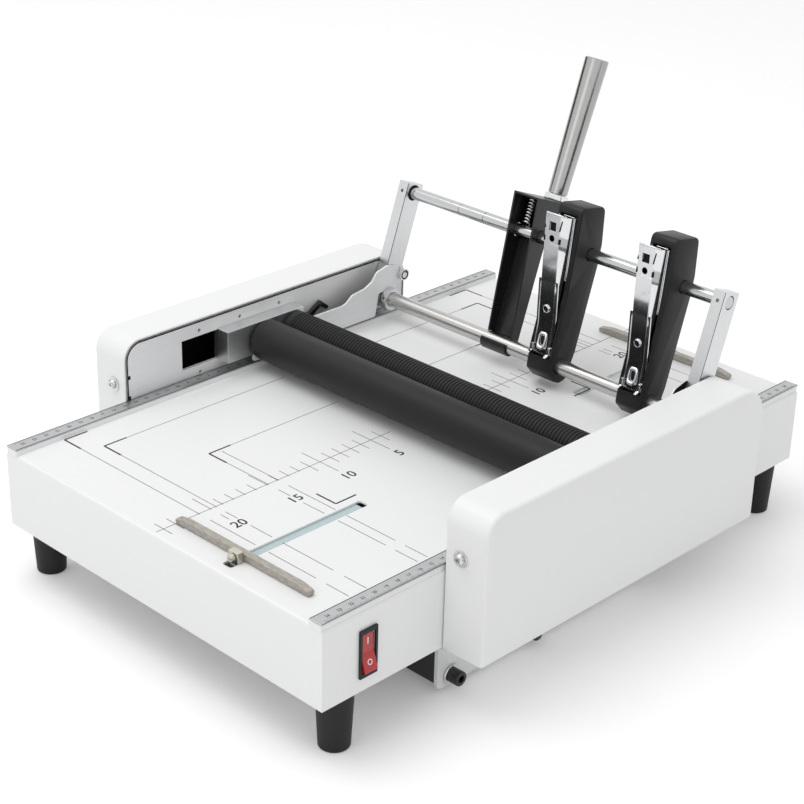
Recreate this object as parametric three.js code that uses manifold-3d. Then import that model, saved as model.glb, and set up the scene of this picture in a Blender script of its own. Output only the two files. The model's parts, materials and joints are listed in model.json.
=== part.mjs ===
// Table-top booklet stapler and folder, in millimetres, +Z up.
// X runs along the rollers, Y in the feed direction (front is -Y), and the origin is on the bench
// below the middle of the table. The stapling frame stands in its parked place, leaning back.

import * as THREE from "three";
import { mergeVertices } from "three/addons/utils/BufferGeometryUtils.js";
import Module from "manifold-3d";

const wasm = await Module();
wasm.setup();

// Counts and tolerances
const arcSteps = 4;
const coverArcSteps = 10;
const roundSegments = 26;
const smallSegments = 14;
const weldTolerance = 1e-4;
const overrun = 5;
const seatGap = 0.3;
const runningGap = 0.4;
const sideGap = 0.6;

// Table: a folded sheet tray on four feet
const table = {
  width: 324,
  length: 500,
  apron: 58,
  sheet: 1.5,
  height: 99,
  edgeRound: 2.5,
  ridgeWidth: 12.2,
  ridgeHeight: 3.4,
  footPadX: 30,
  footPadY: 50,
  endLip: 15,
};
const foot = { topRadius: 12.7, bottomRadius: 10.7, insetX: 12.8, insetY: 23, lowerRound: 1.5 };
const ruler = { width: 11.2, thickness: 0.9 };

// Paper stops: a bar clamped in a slot of each half of the table
const slot = { width: 8.5, length: 122, endInset: 9, frontX: 63.7, rearX: 50.3 };
const stopBar = {
  length: 128.5,
  depth: 5.5,
  height: 5.5,
  endInset: 23,
  nose: 10,
  noseHeight: 3.6,
  round: 1.6,
};
const clamp = { width: 9, depth: 5, height: 7.5, footWidth: 15, footThickness: 2.5 };
const clampScrew = { headRadius: 2.7, headLength: 3, shankRadius: 1.5, shankLength: 4, slit: 1 };

// Side plates, their window for the roller carriage, and the covers outside them
const plate = {
  thickness: 3,
  front: -141.8,
  rear: 146.3,
  rise: 47.8,
  frontRadius: 13,
  rearRadius: 21,
  skirtDrop: 95,
  skirtJog: 8,
  skirtRear: 62,
  skirtRound: 4,
  screwHoleRadius: 1.5,
  holeShares: [0.15, 0.5, 0.85],
};
const windowCut = { front: -90, rear: 25.5, bottom: 12, top: 36 };
const cover = { thickness: 1.5, rimGap: 0.7, width: 35, edgeRound: 2.5 };
const driveBox = { front: -140, rear: 60, depth: 34, sheet: 1.5 };
const tabBolt = { y: -129, drop: 87, headRadius: 5.3, headLength: 8, shankRadius: 3, shankLength: 5 };
const washer = { radius: 7.4, thickness: 1.6, socketRadius: 2.9, socketDepth: 4.5 };

// Folding rollers on a carriage that slides in the windows
const roller = {
  sideRoom: 13.5,
  frontRadius: 16.1,
  rearRadius: 14.4,
  nipY: -2.2,
  axisRise: 22,
  nipGap: 0.3,
  endRound: 1.6,
  shaftRadius: 5,
  leftPast: 12.7,
  rightPast: 15.7,
  rearRightPast: 2.7,
};
const bracket = { reach: 12.4, front: -55.5, rear: 22.5, bottom: 11.5, top: 37, tongue: 4 };
const yoke = {
  thickness: 1.8,
  strapBottom: 5.6,
  strapTop: 11.1,
  strapFront: -30,
  barTop: 25,
  tailBack: 52,
  stepBack: 47.3,
  stepRise: 26.4,
  shelfBack: 40.5,
  shelfRise: 31.4,
  shoulderBack: 26.8,
  shoulderRise: 33.1,
  neckBack: 18.6,
  neckRise: 37,
  browBack: 13.5,
  browRise: 43.7,
  crestBack: 1,
  crestRise: 46.7,
  lugRise: 43.4,
  freePlay: 1.7,
  gateBack: 11,
  gateSlope: 4,
  round: 2,
  softRound: 4,
  crestRound: 9,
};
const hook = { width: 3.2, bar: 4.5, rise: 8.5, elbow: 15, apexBack: 27, apexRise: 7, tipBack: 33.5 };

// Gears: one pair joins the rollers on the left, and a train drives the front roller on the right
const gear = {
  frontTeeth: 20,
  rearTeeth: 18,
  idlerTeeth: 44,
  pinionTeeth: 12,
  width: 8,
  leftPast: 3.7,
  rightPast: 5.7,
  idlerAngle: -15,
  pinionAngle: 265,
};
const toothTipShare = 0.085;
const toothRootShare = 0.25;
const addendumShare = 0.8;
const dedendumShare = 1.15;
const motor = { radius: 26, length: 77, capLength: 6, capRadius: 20, gearboxSize: 42, gearboxWidth: 20 };
const pinionShaft = { radius: 4, inside: 14, past: 14.7 };
const idlerStud = { radius: 5, past: 15.7 };

// Folding blade and the anvil bar that it rises through
const anvil = { sideRoom: 14, width: 16, thickness: 6, grooveOffset: 4, grooveWidth: 1.8, grooveDepth: 0.7 };
const blade = { sideRoom: 22, thickness: 1.5, height: 35, drop: 0.8, sideGap: 0.5 };
const bladeCarrier = { sideRoom: 12, depth: 7, height: 14, overlap: 6 };

// Stapling frame, turning about the lower shaft
const frame = { pivotY: 117, pivotRise: 18, lean: 19.1, lowerRadius: 6, lowerPast: 4.7 };
const upper = {
  radius: 5,
  along: 88.2,
  outerGroove: 97.5,
  innerGroove: 71.5,
  grooveDepth: 0.6,
  grooveWidth: 1.4,
};
const arm = { sideGap: 1, thickness: 9.6, width: 18.2, top: 96, bossRadius: 5.6, screwRadius: 1.4 };
const crank = {
  radius: 23,
  angle: 48.3,
  headRadius: 5,
  headLength: 3,
  shankRadius: 2,
  socketRadius: 2.2,
};
const collar = { radius: 9.2, width: 5, screwRadius: 1.2 };

// Handle: a folded channel on both shafts, with a tube screwed to its top
const channel = {
  left: -40.5,
  width: 25,
  sheet: 1.5,
  top: 117.5,
  bottom: 3,
  frontTop: -15,
  frontBottom: -1,
  web: 7.4,
  lipStart: 34,
  lipEnd: -192,
  flareStart: 82,
  flareEnd: 100,
  flareReach: 40,
};
const handle = {
  across: 22.3,
  tilt: 1.7,
  nutAcrossFlats: 16.7,
  nutHeight: 4.5,
  bottomRadius: 7.7,
  topRadius: 9.4,
  end: 112.6,
  chamfer: 1.2,
  bore: 6.8,
  boreDepth: 8,
  stemRadius: 5,
  stemDepth: 7.5,
};
const spring = { radius: 3.1, wire: 0.6, turns: 8, fromLeft: 8, steps: 8, sides: 5 };

// Stapler heads, one shape used twice along the shafts. Outline shares count from the lowest and
// the foremost point: [across, along, round]
const head = {
  width: 23,
  leftX: 22.8,
  rightRoom: 42.2,
  depth: 40.5,
  length: 139,
  front: -25.5,
  bottom: -13.5,
  edgeRound: 1.5,
  grooveWidth: 16,
  grooveTop: 114,
  grooveBottom: 4,
  floorLow: -7.5,
  floorHigh: -14,
  shoulderTop: 66,
};
const housingShares = [
  [0, 0.97, 0.12],
  [0.69, 1, 0.12],
  [0.905, 0.795, 0.3],
  [0.952, 0.685, 0.3],
  [1, 0.183, 0.3],
  [0.94, 0.026, 0.14],
  [0.771, 0, 0.1],
  [0.595, 0.006, 0.1],
  [0.358, 0.044, 0.1],
  [0.284, 0.17, 0.3],
  [0.235, 0.5, 0.6],
];
const magazine = {
  width: 14,
  flareWidth: 18.6,
  wall: 1.1,
  bottom: 6,
  shoulder: 29,
  flareTop: 63,
  knee: 71,
  top: 112,
  frontBottom: -12.6,
  frontShoulder: -16,
  frontKnee: -30,
  frontTop: -43,
  depthBottom: 2.6,
  depthShoulder: 4.8,
  depthKnee: 13,
  depthTop: 19,
  endDepth: 9.4,
  pinRadius: 1.2,
  pinReach: 9.6,
  pivotAlong: 9.5,
  pivotAcross: -11.2,
  squareHole: 6.4,
  squareAlong: 103.5,
  roundHole: 2.5,
  roundAlong: 94.5,
  lowHoleAlong: 41.5,
  tilt: 4.5,
};
const lever = {
  width: 10.6,
  bottom: 60,
  knee: 71,
  top: 113,
  frontBottom: -13.9,
  frontKnee: -15.6,
  frontTop: -24.2,
};

// Mains switch in the right apron, and the inlet in the rear apron
const rocker = { frontInset: 38.2, drop: 30.3, width: 11, height: 28, tilt: 9, depth: 5, crown: 2.6 };
const bezel = { width: 15, height: 34.5, proud: 1.6, bodyDepth: 19, rim: 1.6 };
const inlet = { x: 105, drop: 30, width: 31, height: 25, flange: 2, bodyDepth: 20, bodyInset: 3, wall: 3 };

// Places that follow from the sizes above
const top = table.height;
const apronBottom = top - table.apron;
const halfWidth = table.width / 2;
const halfLength = table.length / 2;
const rockerY = -halfLength + rocker.frontInset;
const plateInner = halfWidth + seatGap;
const plateOuter = plateInner + plate.thickness;
const skirtOuter = plateOuter - plate.skirtJog;
const skirtInner = skirtOuter - plate.thickness;
const slotEnd = halfLength - slot.endInset;
const slotStart = slotEnd - slot.length;
const stopPlace = halfLength - stopBar.endInset;
const boxBottom = apronBottom - driveBox.depth;
const skirtBottom = top - plate.skirtDrop;
const tabBoltZ = top - tabBolt.drop;
const rollerHalf = halfWidth - roller.sideRoom;
const bladeHalf = halfWidth - blade.sideRoom;
const carrierHalf = halfWidth - bladeCarrier.sideRoom;
const anvilHalf = halfWidth - anvil.sideRoom;
const bracketInner = halfWidth - bracket.reach;
const leftGearPlace = plateOuter + gear.leftPast;
const rightGearPlace = plateOuter + gear.rightPast;
const pinionStart = halfWidth - pinionShaft.inside;
const pinionEnd = plateOuter + pinionShaft.past;
const idlerEnd = plateOuter + idlerStud.past;
const leftShaftEnd = plateOuter + roller.leftPast;
const rightShaftEnd = plateOuter + roller.rightPast;
const rearShaftEnd = plateOuter + roller.rearRightPast;
const armOuter = plateInner - arm.sideGap;
const armInner = armOuter - arm.thickness;
const headRightX = armInner - head.rightRoom;
const lowerEnd = plateOuter + frame.lowerPast;
const rollerZ = top + roller.axisRise;
const frontRollerY = roller.nipY - roller.frontRadius - roller.nipGap / 2;
const rearRollerY = roller.nipY + roller.rearRadius + roller.nipGap / 2;
const gearModule = (2 * (rearRollerY - frontRollerY)) / (gear.frontTeeth + gear.rearTeeth);
const pitchRadius = (teeth) => (gearModule * teeth) / 2;
const idlerReach = pitchRadius(gear.frontTeeth) + pitchRadius(gear.idlerTeeth);
const idlerTurn = THREE.MathUtils.degToRad(gear.idlerAngle);
const idlerY = frontRollerY + idlerReach * Math.cos(idlerTurn);
const idlerZ = rollerZ + idlerReach * Math.sin(idlerTurn);
const pinionReach = pitchRadius(gear.idlerTeeth) + pitchRadius(gear.pinionTeeth);
const pinionTurn = THREE.MathUtils.degToRad(gear.pinionAngle);
const pinionY = idlerY + pinionReach * Math.cos(pinionTurn);
const pinionZ = idlerZ + pinionReach * Math.sin(pinionTurn);
const pivotZ = top + frame.pivotRise;
const lean = THREE.MathUtils.degToRad(frame.lean);
const crankTurn = THREE.MathUtils.degToRad(crank.angle);
const crankY = frame.pivotY + crank.radius * Math.cos(crankTurn);
const crankZ = pivotZ + crank.radius * Math.sin(crankTurn);
const crankAlong = crank.radius * Math.sin(crankTurn + lean);
const crankAcross = crank.radius * Math.cos(crankTurn + lean);

// Finishes
function finish(color, roughness, metalness) {
  return new THREE.MeshStandardMaterial({ color, roughness, metalness });
}
const whitePaint = finish(0xeeeeec, 0.45, 0);
const satinSteel = finish(0xb9bbbc, 0.35, 0.9);
const darkSteel = finish(0x3a3b3d, 0.4, 0.7);
const chrome = finish(0xd4d6d8, 0.1, 1);
const aluminium = finish(0xc6c8c9, 0.32, 0.95);
const blackPlastic = finish(0x2b2b2c, 0.5, 0);
const blackRubber = finish(0x2f2f30, 0.75, 0);
const blackPaint = finish(0x1d1d1e, 0.4, 0.1);
const zinc = finish(0xc9c4b4, 0.35, 0.9);
const blastedSteel = finish(0x9d9286, 0.6, 0.8);
const redPlastic = finish(0xc01818, 0.25, 0);

// An outline from corners [a, b, radius], where a corner with a radius becomes the arc that fits it
function outline(corners, steps = arcSteps) {
  const origin = new THREE.Vector2();
  const points = [];
  corners.forEach(([a, b, radius], i) => {
    const here = new THREE.Vector2(a, b);
    if (!radius) {
      points.push(here);
      return;
    }
    const last = corners.at(i - 1);
    const next = corners[(i + 1) % corners.length];
    const back = new THREE.Vector2(last[0], last[1]).sub(here).normalize();
    const ahead = new THREE.Vector2(next[0], next[1]).sub(here).normalize();
    const half = Math.acos(THREE.MathUtils.clamp(back.dot(ahead), -1, 1)) / 2;
    const middle = back.clone().add(ahead).normalize();
    const centre = here.clone().addScaledVector(middle, radius / Math.sin(half));
    const from = here.clone().addScaledVector(back, radius / Math.tan(half)).sub(centre);
    const turn = Math.sign(back.cross(ahead)) * (Math.PI - 2 * half);
    for (let k = 0; k <= steps; k += 1) {
      const spoke = from.clone().rotateAround(origin, (-turn * k) / steps);
      points.push(centre.clone().add(spoke));
    }
  });
  return new THREE.Shape(points);
}

function rectangle(a0, a1, b0, b1, radius) {
  return outline([[a0, b0, radius], [a1, b0, radius], [a1, b1, radius], [a0, b1, radius]]);
}

// Extrusions: a side-view outline (Y, Z) carried along X, a plan outline (X, Y) carried up Z,
// and a front-view outline (X, Z) carried along Y
const sideView = new THREE.Matrix4().makeBasis(
  new THREE.Vector3(0, 1, 0),
  new THREE.Vector3(0, 0, 1),
  new THREE.Vector3(1, 0, 0),
);

function alongX(shape, x0, x1) {
  const geometry = new THREE.ExtrudeGeometry(shape, { depth: Math.abs(x1 - x0), bevelEnabled: false });
  return geometry.applyMatrix4(sideView).translate(Math.min(x0, x1), 0, 0);
}

// An extrusion whose outer edges are rounded at both ends, from -edge to depth - edge
function softExtrusion(shape, depth, edge) {
  return new THREE.ExtrudeGeometry(shape, {
    depth: depth - 2 * edge,
    bevelSize: edge,
    bevelThickness: edge,
    bevelOffset: -edge,
    bevelSegments: 2,
  });
}

function upZ(shape, z0, z1) {
  const geometry = new THREE.ExtrudeGeometry(shape, { depth: z1 - z0, bevelEnabled: false });
  return geometry.translate(0, 0, z0);
}

function alongY(shape, y0, y1) {
  const geometry = new THREE.ExtrudeGeometry(shape, { depth: y1 - y0, bevelEnabled: false });
  return geometry.rotateX(Math.PI / 2).translate(0, y1, 0);
}

function block(x0, x1, y0, y1, z0, z1) {
  const geometry = new THREE.BoxGeometry(Math.abs(x1 - x0), Math.abs(y1 - y0), Math.abs(z1 - z0));
  return geometry.translate((x0 + x1) / 2, (y0 + y1) / 2, (z0 + z1) / 2);
}

// Round bars, each between two places on its axis
function rodX(radius, x0, x1, y, z, segments = roundSegments) {
  const geometry = new THREE.CylinderGeometry(radius, radius, Math.abs(x1 - x0), segments);
  return geometry.rotateZ(Math.PI / 2).translate((x0 + x1) / 2, y, z);
}

function rodY(radius, y0, y1, x, z, segments = smallSegments) {
  const geometry = new THREE.CylinderGeometry(radius, radius, Math.abs(y1 - y0), segments);
  return geometry.translate(x, (y0 + y1) / 2, z);
}

function rodZ(radius, z0, z1, x, y, segments = smallSegments) {
  const geometry = new THREE.CylinderGeometry(radius, radius, Math.abs(z1 - z0), segments);
  return geometry.rotateX(Math.PI / 2).translate(x, y, (z0 + z1) / 2);
}

// Turned shapes: a profile of [radius, height] pairs about the vertical, or about X
function turned(profile, segments = roundSegments) {
  return new THREE.LatheGeometry(profile.map(([r, h]) => new THREE.Vector2(r, h)), segments);
}

function turnedZ(profile, segments) {
  return turned(profile, segments).rotateX(Math.PI / 2);
}

function turnedX(profile, segments) {
  return turned(profile, segments).rotateZ(-Math.PI / 2);
}

// Booleans
function toSolid(geometry) {
  const bare = geometry.clone();
  bare.deleteAttribute("normal");
  bare.deleteAttribute("uv");
  const merged = mergeVertices(bare, weldTolerance);
  const vertProperties = merged.attributes.position.array;
  const triVerts = new Uint32Array(merged.index.array);
  return new wasm.Manifold(new wasm.Mesh({ numProp: 3, vertProperties, triVerts }));
}

function toGeometry(solid) {
  const { vertProperties, triVerts } = solid.getMesh();
  const geometry = new THREE.BufferGeometry();
  geometry.setAttribute("position", new THREE.BufferAttribute(new Float32Array(vertProperties), 3));
  geometry.setIndex(new THREE.BufferAttribute(new Uint32Array(triVerts), 1));
  geometry.computeVertexNormals();
  return geometry;
}

function cut(base, ...tools) {
  return toGeometry(tools.reduce((solid, tool) => solid.subtract(toSolid(tool)), toSolid(base)));
}

function join(base, ...extras) {
  return toGeometry(extras.reduce((solid, extra) => solid.add(toSolid(extra)), toSolid(base)));
}

function add(group, name, geometry, material) {
  const mesh = new THREE.Mesh(geometry, material);
  mesh.name = name;
  group.add(mesh);
  return mesh;
}

const machine = new THREE.Group();
const sides = [["left", -1], ["right", 1]];

// Table deck: tray with raised edges for the rulers, slots for the stops, the anvil's opening,
// a hole for the motor shaft, and cut-outs for the switch and the inlet
function tableDeck() {
  const edge = table.edgeRound;
  const plan = rectangle(-halfWidth, halfWidth, -halfLength, halfLength, 0);
  const body = softExtrusion(plan, table.apron + 2 * edge, edge).translate(0, 0, apronBottom - edge);
  const ridges = sides.map(([, s]) => block(
    s * (halfWidth - table.ridgeWidth), s * (halfWidth - edge / 2),
    -halfLength, halfLength,
    top - table.sheet, top + table.ridgeHeight,
  ));
  const innerX = halfWidth - table.sheet;
  const innerY = halfLength - table.sheet;
  const lipTop = apronBottom + table.sheet;
  const below = apronBottom - edge - overrun;
  return cut(
    join(body, ...ridges),
    block(-table.width, table.width, -table.length, table.length, below, apronBottom),
    block(-innerX, innerX, -innerY, innerY, lipTop, top - table.sheet),
    block(-innerX, innerX, -innerY + table.footPadY, innerY - table.footPadY, below, lipTop + edge),
    block(-innerX + table.footPadX, innerX - table.footPadX,
      -innerY + table.endLip, innerY - table.endLip, below, lipTop + edge),
    slotCut(slot.frontX, -1),
    slotCut(slot.rearX, 1),
    upZ(rectangle(
      -anvilHalf - seatGap, anvilHalf + seatGap,
      roller.nipY - anvil.width / 2 - seatGap, roller.nipY + anvil.width / 2 + seatGap,
      anvil.width / 4,
    ), top - table.sheet - overrun, top + overrun),
    rodX(pinionShaft.radius + sideGap, innerX - overrun, halfWidth + overrun, pinionY, pinionZ),
    block(innerX - overrun, halfWidth + overrun,
      rockerY - bezel.width / 2 + bezel.rim, rockerY + bezel.width / 2 - bezel.rim,
      top - rocker.drop - bezel.height / 2 + bezel.rim, top - rocker.drop + bezel.height / 2 - bezel.rim),
    block(inlet.x - inlet.width / 2 - seatGap, inlet.x + inlet.width / 2 + seatGap,
      innerY - overrun, halfLength + overrun,
      top - inlet.drop - inlet.height / 2 - seatGap, top - inlet.drop + inlet.height / 2 + seatGap),
  );
}

function slotCut(x, side) {
  const [y0, y1] = [side * slotStart, side * slotEnd].sort((a, b) => a - b);
  const plan = rectangle(x - slot.width / 2, x + slot.width / 2, y0, y1, slot.width / 4);
  return upZ(plan, top - table.sheet - overrun, top + overrun);
}
add(machine, "table_deck", tableDeck(), whitePaint);

// Feet: tapered rubber posts under the corner pads
for (const [end, ySide] of [["front", -1], ["rear", 1]]) {
  for (const [hand, xSide] of sides) {
    const profile = [
      [0, 0],
      [foot.bottomRadius - foot.lowerRound, 0],
      [foot.bottomRadius, foot.lowerRound],
      [foot.topRadius, apronBottom - seatGap],
      [0, apronBottom - seatGap],
    ];
    const mesh = add(machine, `foot_${end}_${hand}`, turnedZ(profile), blackRubber);
    mesh.position.set(xSide * (halfWidth - foot.insetX), ySide * (halfLength - foot.insetY), 0);
  }
}

// Drive box: a black tray hung between the skirts of the side plates, under the motor
function driveTray() {
  const reach = skirtInner - seatGap;
  const wall = driveBox.sheet;
  return cut(
    block(-reach, reach, driveBox.front, driveBox.rear, boxBottom, apronBottom - seatGap),
    block(-reach + wall, reach - wall, driveBox.front + wall, driveBox.rear - wall,
      boxBottom + wall, apronBottom + overrun),
    rodX(tabBolt.shankRadius + seatGap, -reach - overrun, reach + overrun, tabBolt.y, tabBoltZ),
  );
}
add(machine, "drive_box", driveTray(), blackPaint);

// Side plates with the carriage window, the shaft hole and four small screw holes. Below the table
// each is bent inwards and down again to the skirt that carries the drive box
function sidePlate(s) {
  const webTop = apronBottom - seatGap;
  const webBottom = webTop - plate.thickness;
  const skirt = outline([
    [plate.front, skirtBottom, plate.skirtRound],
    [plate.skirtRear, skirtBottom, plate.skirtRound],
    [plate.skirtRear, webTop],
    [plate.front, webTop],
  ]);
  const face = outline([
    [plate.front, webBottom],
    [plate.skirtRear, webBottom],
    [plate.skirtRear, apronBottom],
    [plate.rear, apronBottom],
    [plate.rear, top + plate.rise, plate.rearRadius],
    [plate.front, top + plate.rise, plate.frontRadius],
  ], coverArcSteps);
  const through = [s * (plateInner - overrun), s * (plateOuter + overrun)];
  const holeRise = top + (plate.rise + windowCut.top) / 2 - plate.screwHoleRadius;
  const holeY = (share) => THREE.MathUtils.lerp(windowCut.front, windowCut.rear, share);
  const holes = plate.holeShares.map((share) => [holeY(share), holeRise]);
  holes.push([holeY(plate.holeShares[0]), top + windowCut.bottom / 2]);
  const sheet = join(
    alongX(face, s * plateInner, s * plateOuter),
    alongX(skirt, s * skirtInner, s * skirtOuter),
    block(s * skirtInner, s * plateOuter, plate.front, plate.skirtRear, webBottom, webTop),
  );
  const base = cut(
    sheet,
    block(...through, windowCut.front, windowCut.rear, top + windowCut.bottom, top + windowCut.top),
    rodX(frame.lowerRadius + runningGap, ...through, frame.pivotY, pivotZ),
    rodX(tabBolt.shankRadius + seatGap, s * (skirtInner - overrun), s * (skirtOuter + overrun), tabBolt.y, tabBoltZ),
    ...holes.map(([y, z]) => rodX(plate.screwHoleRadius, ...through, y, z, smallSegments)),
  );
  if (s < 0) {
    return base;
  }
  const driven = cut(base, rodX(pinionShaft.radius + sideGap, ...through, pinionY, pinionZ));
  return join(driven, rodX(idlerStud.radius, plateInner, idlerEnd, idlerY, idlerZ));
}

// Covers: deep white boxes that stand outside the side plates, open towards them
function sideCover(s) {
  const bottom = apronBottom;
  const crown = top + plate.rise + cover.rimGap + cover.thickness;
  const front = plate.front - cover.rimGap - cover.thickness;
  const rear = plate.rear + cover.rimGap + cover.thickness;
  const frontRound = plate.frontRadius + cover.rimGap + cover.thickness;
  const rearRound = plate.rearRadius + cover.rimGap + cover.thickness;
  const rim = plateInner + sideGap;
  const outer = rim + cover.width;
  const wall = cover.thickness;
  const edge = cover.edgeRound;
  const face = outline([
    [front, bottom],
    [rear, bottom],
    [rear, crown, rearRound],
    [front, crown, frontRound],
  ], coverArcSteps);
  const hollow = outline([
    [front + wall, bottom + wall],
    [rear - wall, bottom + wall],
    [rear - wall, crown - wall, rearRound - wall],
    [front + wall, crown - wall, frontRound - wall],
  ], coverArcSteps);
  const depth = cover.width + overrun;
  const shell = softExtrusion(face, depth, edge).applyMatrix4(sideView);
  shell.translate(edge + (s > 0 ? outer - depth : -outer), 0, 0);
  return cut(
    shell,
    block(0, s * rim, front - overrun, rear + overrun, bottom - overrun, crown + overrun),
    alongX(hollow, 0, s * (outer - wall)),
    block(0, s * (plateOuter + seatGap), front + wall, rear - wall, bottom - overrun, bottom + 2 * wall),
  );
}

for (const [hand, s] of sides) {
  add(machine, `side_plate_${hand}`, sidePlate(s), satinSteel);
  add(machine, `cover_${hand}`, sideCover(s), whitePaint);
}

// Rulers lie on the raised edges of the table
for (const [hand, s] of sides) {
  const outer = s * (halfWidth - (table.ridgeWidth - ruler.width) / 2);
  const low = top + table.ridgeHeight + seatGap / 3;
  const strip = block(outer - s * ruler.width, outer, -halfLength, halfLength, low, low + ruler.thickness);
  add(machine, `ruler_${hand}`, strip, satinSteel);
}

// Anvil bar: set flush in the table, with the blade's slit and a groove that turns the staple legs
function anvilBar() {
  const y = roller.nipY;
  const bottom = top - anvil.thickness;
  const bar = rectangle(-anvilHalf, anvilHalf, y - anvil.width / 2, y + anvil.width / 2,
    anvil.width / 4);
  const slit = blade.thickness / 2 + blade.sideGap;
  const groove = y - anvil.grooveOffset;
  return cut(
    upZ(bar, bottom, top),
    block(-bladeHalf - blade.sideGap, bladeHalf + blade.sideGap,
      y - slit, y + slit, bottom - overrun, top + overrun),
    block(-bladeHalf, bladeHalf,
      groove - anvil.grooveWidth / 2, groove + anvil.grooveWidth / 2,
      top - anvil.grooveDepth, top + overrun),
  );
}
add(machine, "anvil_bar", anvilBar(), satinSteel);

// Folding blade and the bar that carries it under the table
const bladeTop = top - blade.drop;
add(machine, "folding_blade", block(
  -bladeHalf, bladeHalf,
  roller.nipY - blade.thickness / 2, roller.nipY + blade.thickness / 2,
  bladeTop - blade.height, bladeTop,
), satinSteel);
const carrierRear = roller.nipY - blade.thickness / 2 - seatGap;
const carrierTop = bladeTop - blade.height + bladeCarrier.overlap;
add(machine, "blade_carrier", block(
  -carrierHalf, carrierHalf,
  carrierRear - bladeCarrier.depth, carrierRear,
  carrierTop - bladeCarrier.height, carrierTop,
), darkSteel);

// Motor and gearbox inside the table, with the pinion on the gearbox shaft
const gearboxOuter = halfWidth - table.sheet - seatGap;
const gearboxInner = gearboxOuter - motor.gearboxWidth;
const halfBox = motor.gearboxSize / 2;
add(machine, "gearbox", cut(
  block(gearboxInner, gearboxOuter, pinionY - halfBox, pinionY + halfBox,
    pinionZ - halfBox, pinionZ + halfBox),
  rodX(pinionShaft.radius + seatGap, pinionStart - seatGap, gearboxOuter + overrun,
    pinionY, pinionZ),
), darkSteel);
const motorEnd = gearboxInner - seatGap;
add(machine, "motor", join(
  rodX(motor.radius, motorEnd - motor.length, motorEnd, pinionY, pinionZ),
  rodX(motor.capRadius, motorEnd - motor.length - motor.capLength, motorEnd, pinionY, pinionZ),
), darkSteel);

// A spur gear about X: teeth of straight flanks on the root circle, one tooth centred on `phase`
function spurGear(teeth, phase, bore, x0) {
  const pitch = pitchRadius(teeth);
  const step = (2 * Math.PI) / teeth;
  const points = [];
  for (let k = 0; k < teeth; k += 1) {
    const middle = phase + k * step;
    const tip = toothTipShare * step;
    const root = toothRootShare * step;
    const tipRadius = pitch + addendumShare * gearModule;
    const rootRadius = pitch - dedendumShare * gearModule;
    const tooth = [[-root, rootRadius], [-tip, tipRadius], [tip, tipRadius], [root, rootRadius]];
    for (const [turn, radius] of tooth) {
      points.push([radius * Math.cos(middle + turn), radius * Math.sin(middle + turn)]);
    }
  }
  const wheel = alongX(outline(points), x0, x0 + gear.width);
  return bore ? cut(wheel, rodX(bore, x0 - overrun, x0 + gear.width + overrun, 0, 0)) : wheel;
}

// The phase of a gear that meshes with one whose tooth is centred on `phase`, where the second
// centre lies in the direction `ahead` of the first
function meshPhase(phase, teeth, ahead, otherTeeth) {
  return ahead + Math.PI + Math.PI / otherTeeth - ((phase - ahead) * teeth) / otherTeeth;
}

// Rollers: rubber sleeves on steel shafts, joined by gears on the left
function rollerSleeve(radius) {
  const half = rollerHalf;
  const round = roller.endRound;
  const bore = roller.shaftRadius + seatGap;
  return turnedX([
    [bore, -half],
    [radius - round, -half],
    [radius, -half + round],
    [radius, half - round],
    [radius - round, half],
    [bore, half],
    [bore, -half],
  ]);
}

function onAxis(mesh, y, z) {
  mesh.position.set(0, y, z);
}

const gearBore = roller.shaftRadius + seatGap;
const leftGearX = -leftGearPlace - gear.width;
const frontPhase = 0;
const rearPhase = meshPhase(frontPhase, gear.frontTeeth, 0, gear.rearTeeth);
const shaft = (reach) => rodX(roller.shaftRadius, -leftShaftEnd, reach, 0, 0);
const frontSet = [
  ["front_roller", rollerSleeve(roller.frontRadius), blackRubber],
  ["front_roller_shaft", shaft(rightShaftEnd), satinSteel],
  ["front_roller_gear", spurGear(gear.frontTeeth, frontPhase, gearBore, leftGearX), satinSteel],
  ["front_drive_gear", spurGear(gear.frontTeeth, frontPhase, gearBore, rightGearPlace), satinSteel],
];
const rearSet = [
  ["rear_roller", rollerSleeve(roller.rearRadius), blackRubber],
  ["rear_roller_shaft", shaft(rearShaftEnd), satinSteel],
  ["rear_roller_gear", spurGear(gear.rearTeeth, rearPhase, gearBore, leftGearX), satinSteel],
];
for (const [y, set] of [[frontRollerY, frontSet], [rearRollerY, rearSet]]) {
  for (const [name, geometry, material] of set) {
    onAxis(add(machine, name, geometry, material), y, rollerZ);
  }
}

const idlerPhase = meshPhase(frontPhase, gear.frontTeeth, idlerTurn, gear.idlerTeeth);
onAxis(add(machine, "idler_gear",
  spurGear(gear.idlerTeeth, idlerPhase, idlerStud.radius + seatGap, rightGearPlace), satinSteel),
idlerY, idlerZ);
const pinionPhase = meshPhase(idlerPhase, gear.idlerTeeth, pinionTurn, gear.pinionTeeth);
onAxis(add(machine, "motor_pinion", join(
  spurGear(gear.pinionTeeth, pinionPhase, 0, rightGearPlace),
  rodX(pinionShaft.radius, pinionStart, pinionEnd, 0, 0),
), satinSteel), pinionY, pinionZ);

// Roller brackets: bearing blocks whose tongues slide in the windows of the side plates
function rollerBracket(s) {
  const inner = s * bracketInner;
  const outer = s * (plateInner - seatGap);
  const ends = [s * (bracketInner - overrun), s * (plateOuter + overrun)];
  const body = join(
    block(inner, outer, bracket.front, bracket.rear, top + bracket.bottom, top + bracket.top),
    block(outer - s * seatGap, s * (plateInner + bracket.tongue),
      bracket.front + seatGap, bracket.rear - seatGap,
      top + windowCut.bottom + seatGap, top + windowCut.top - seatGap),
  );
  const bore = roller.shaftRadius + seatGap;
  return cut(body, rodX(bore, ...ends, frontRollerY, rollerZ), rodX(bore, ...ends, rearRollerY, rollerZ));
}

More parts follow.
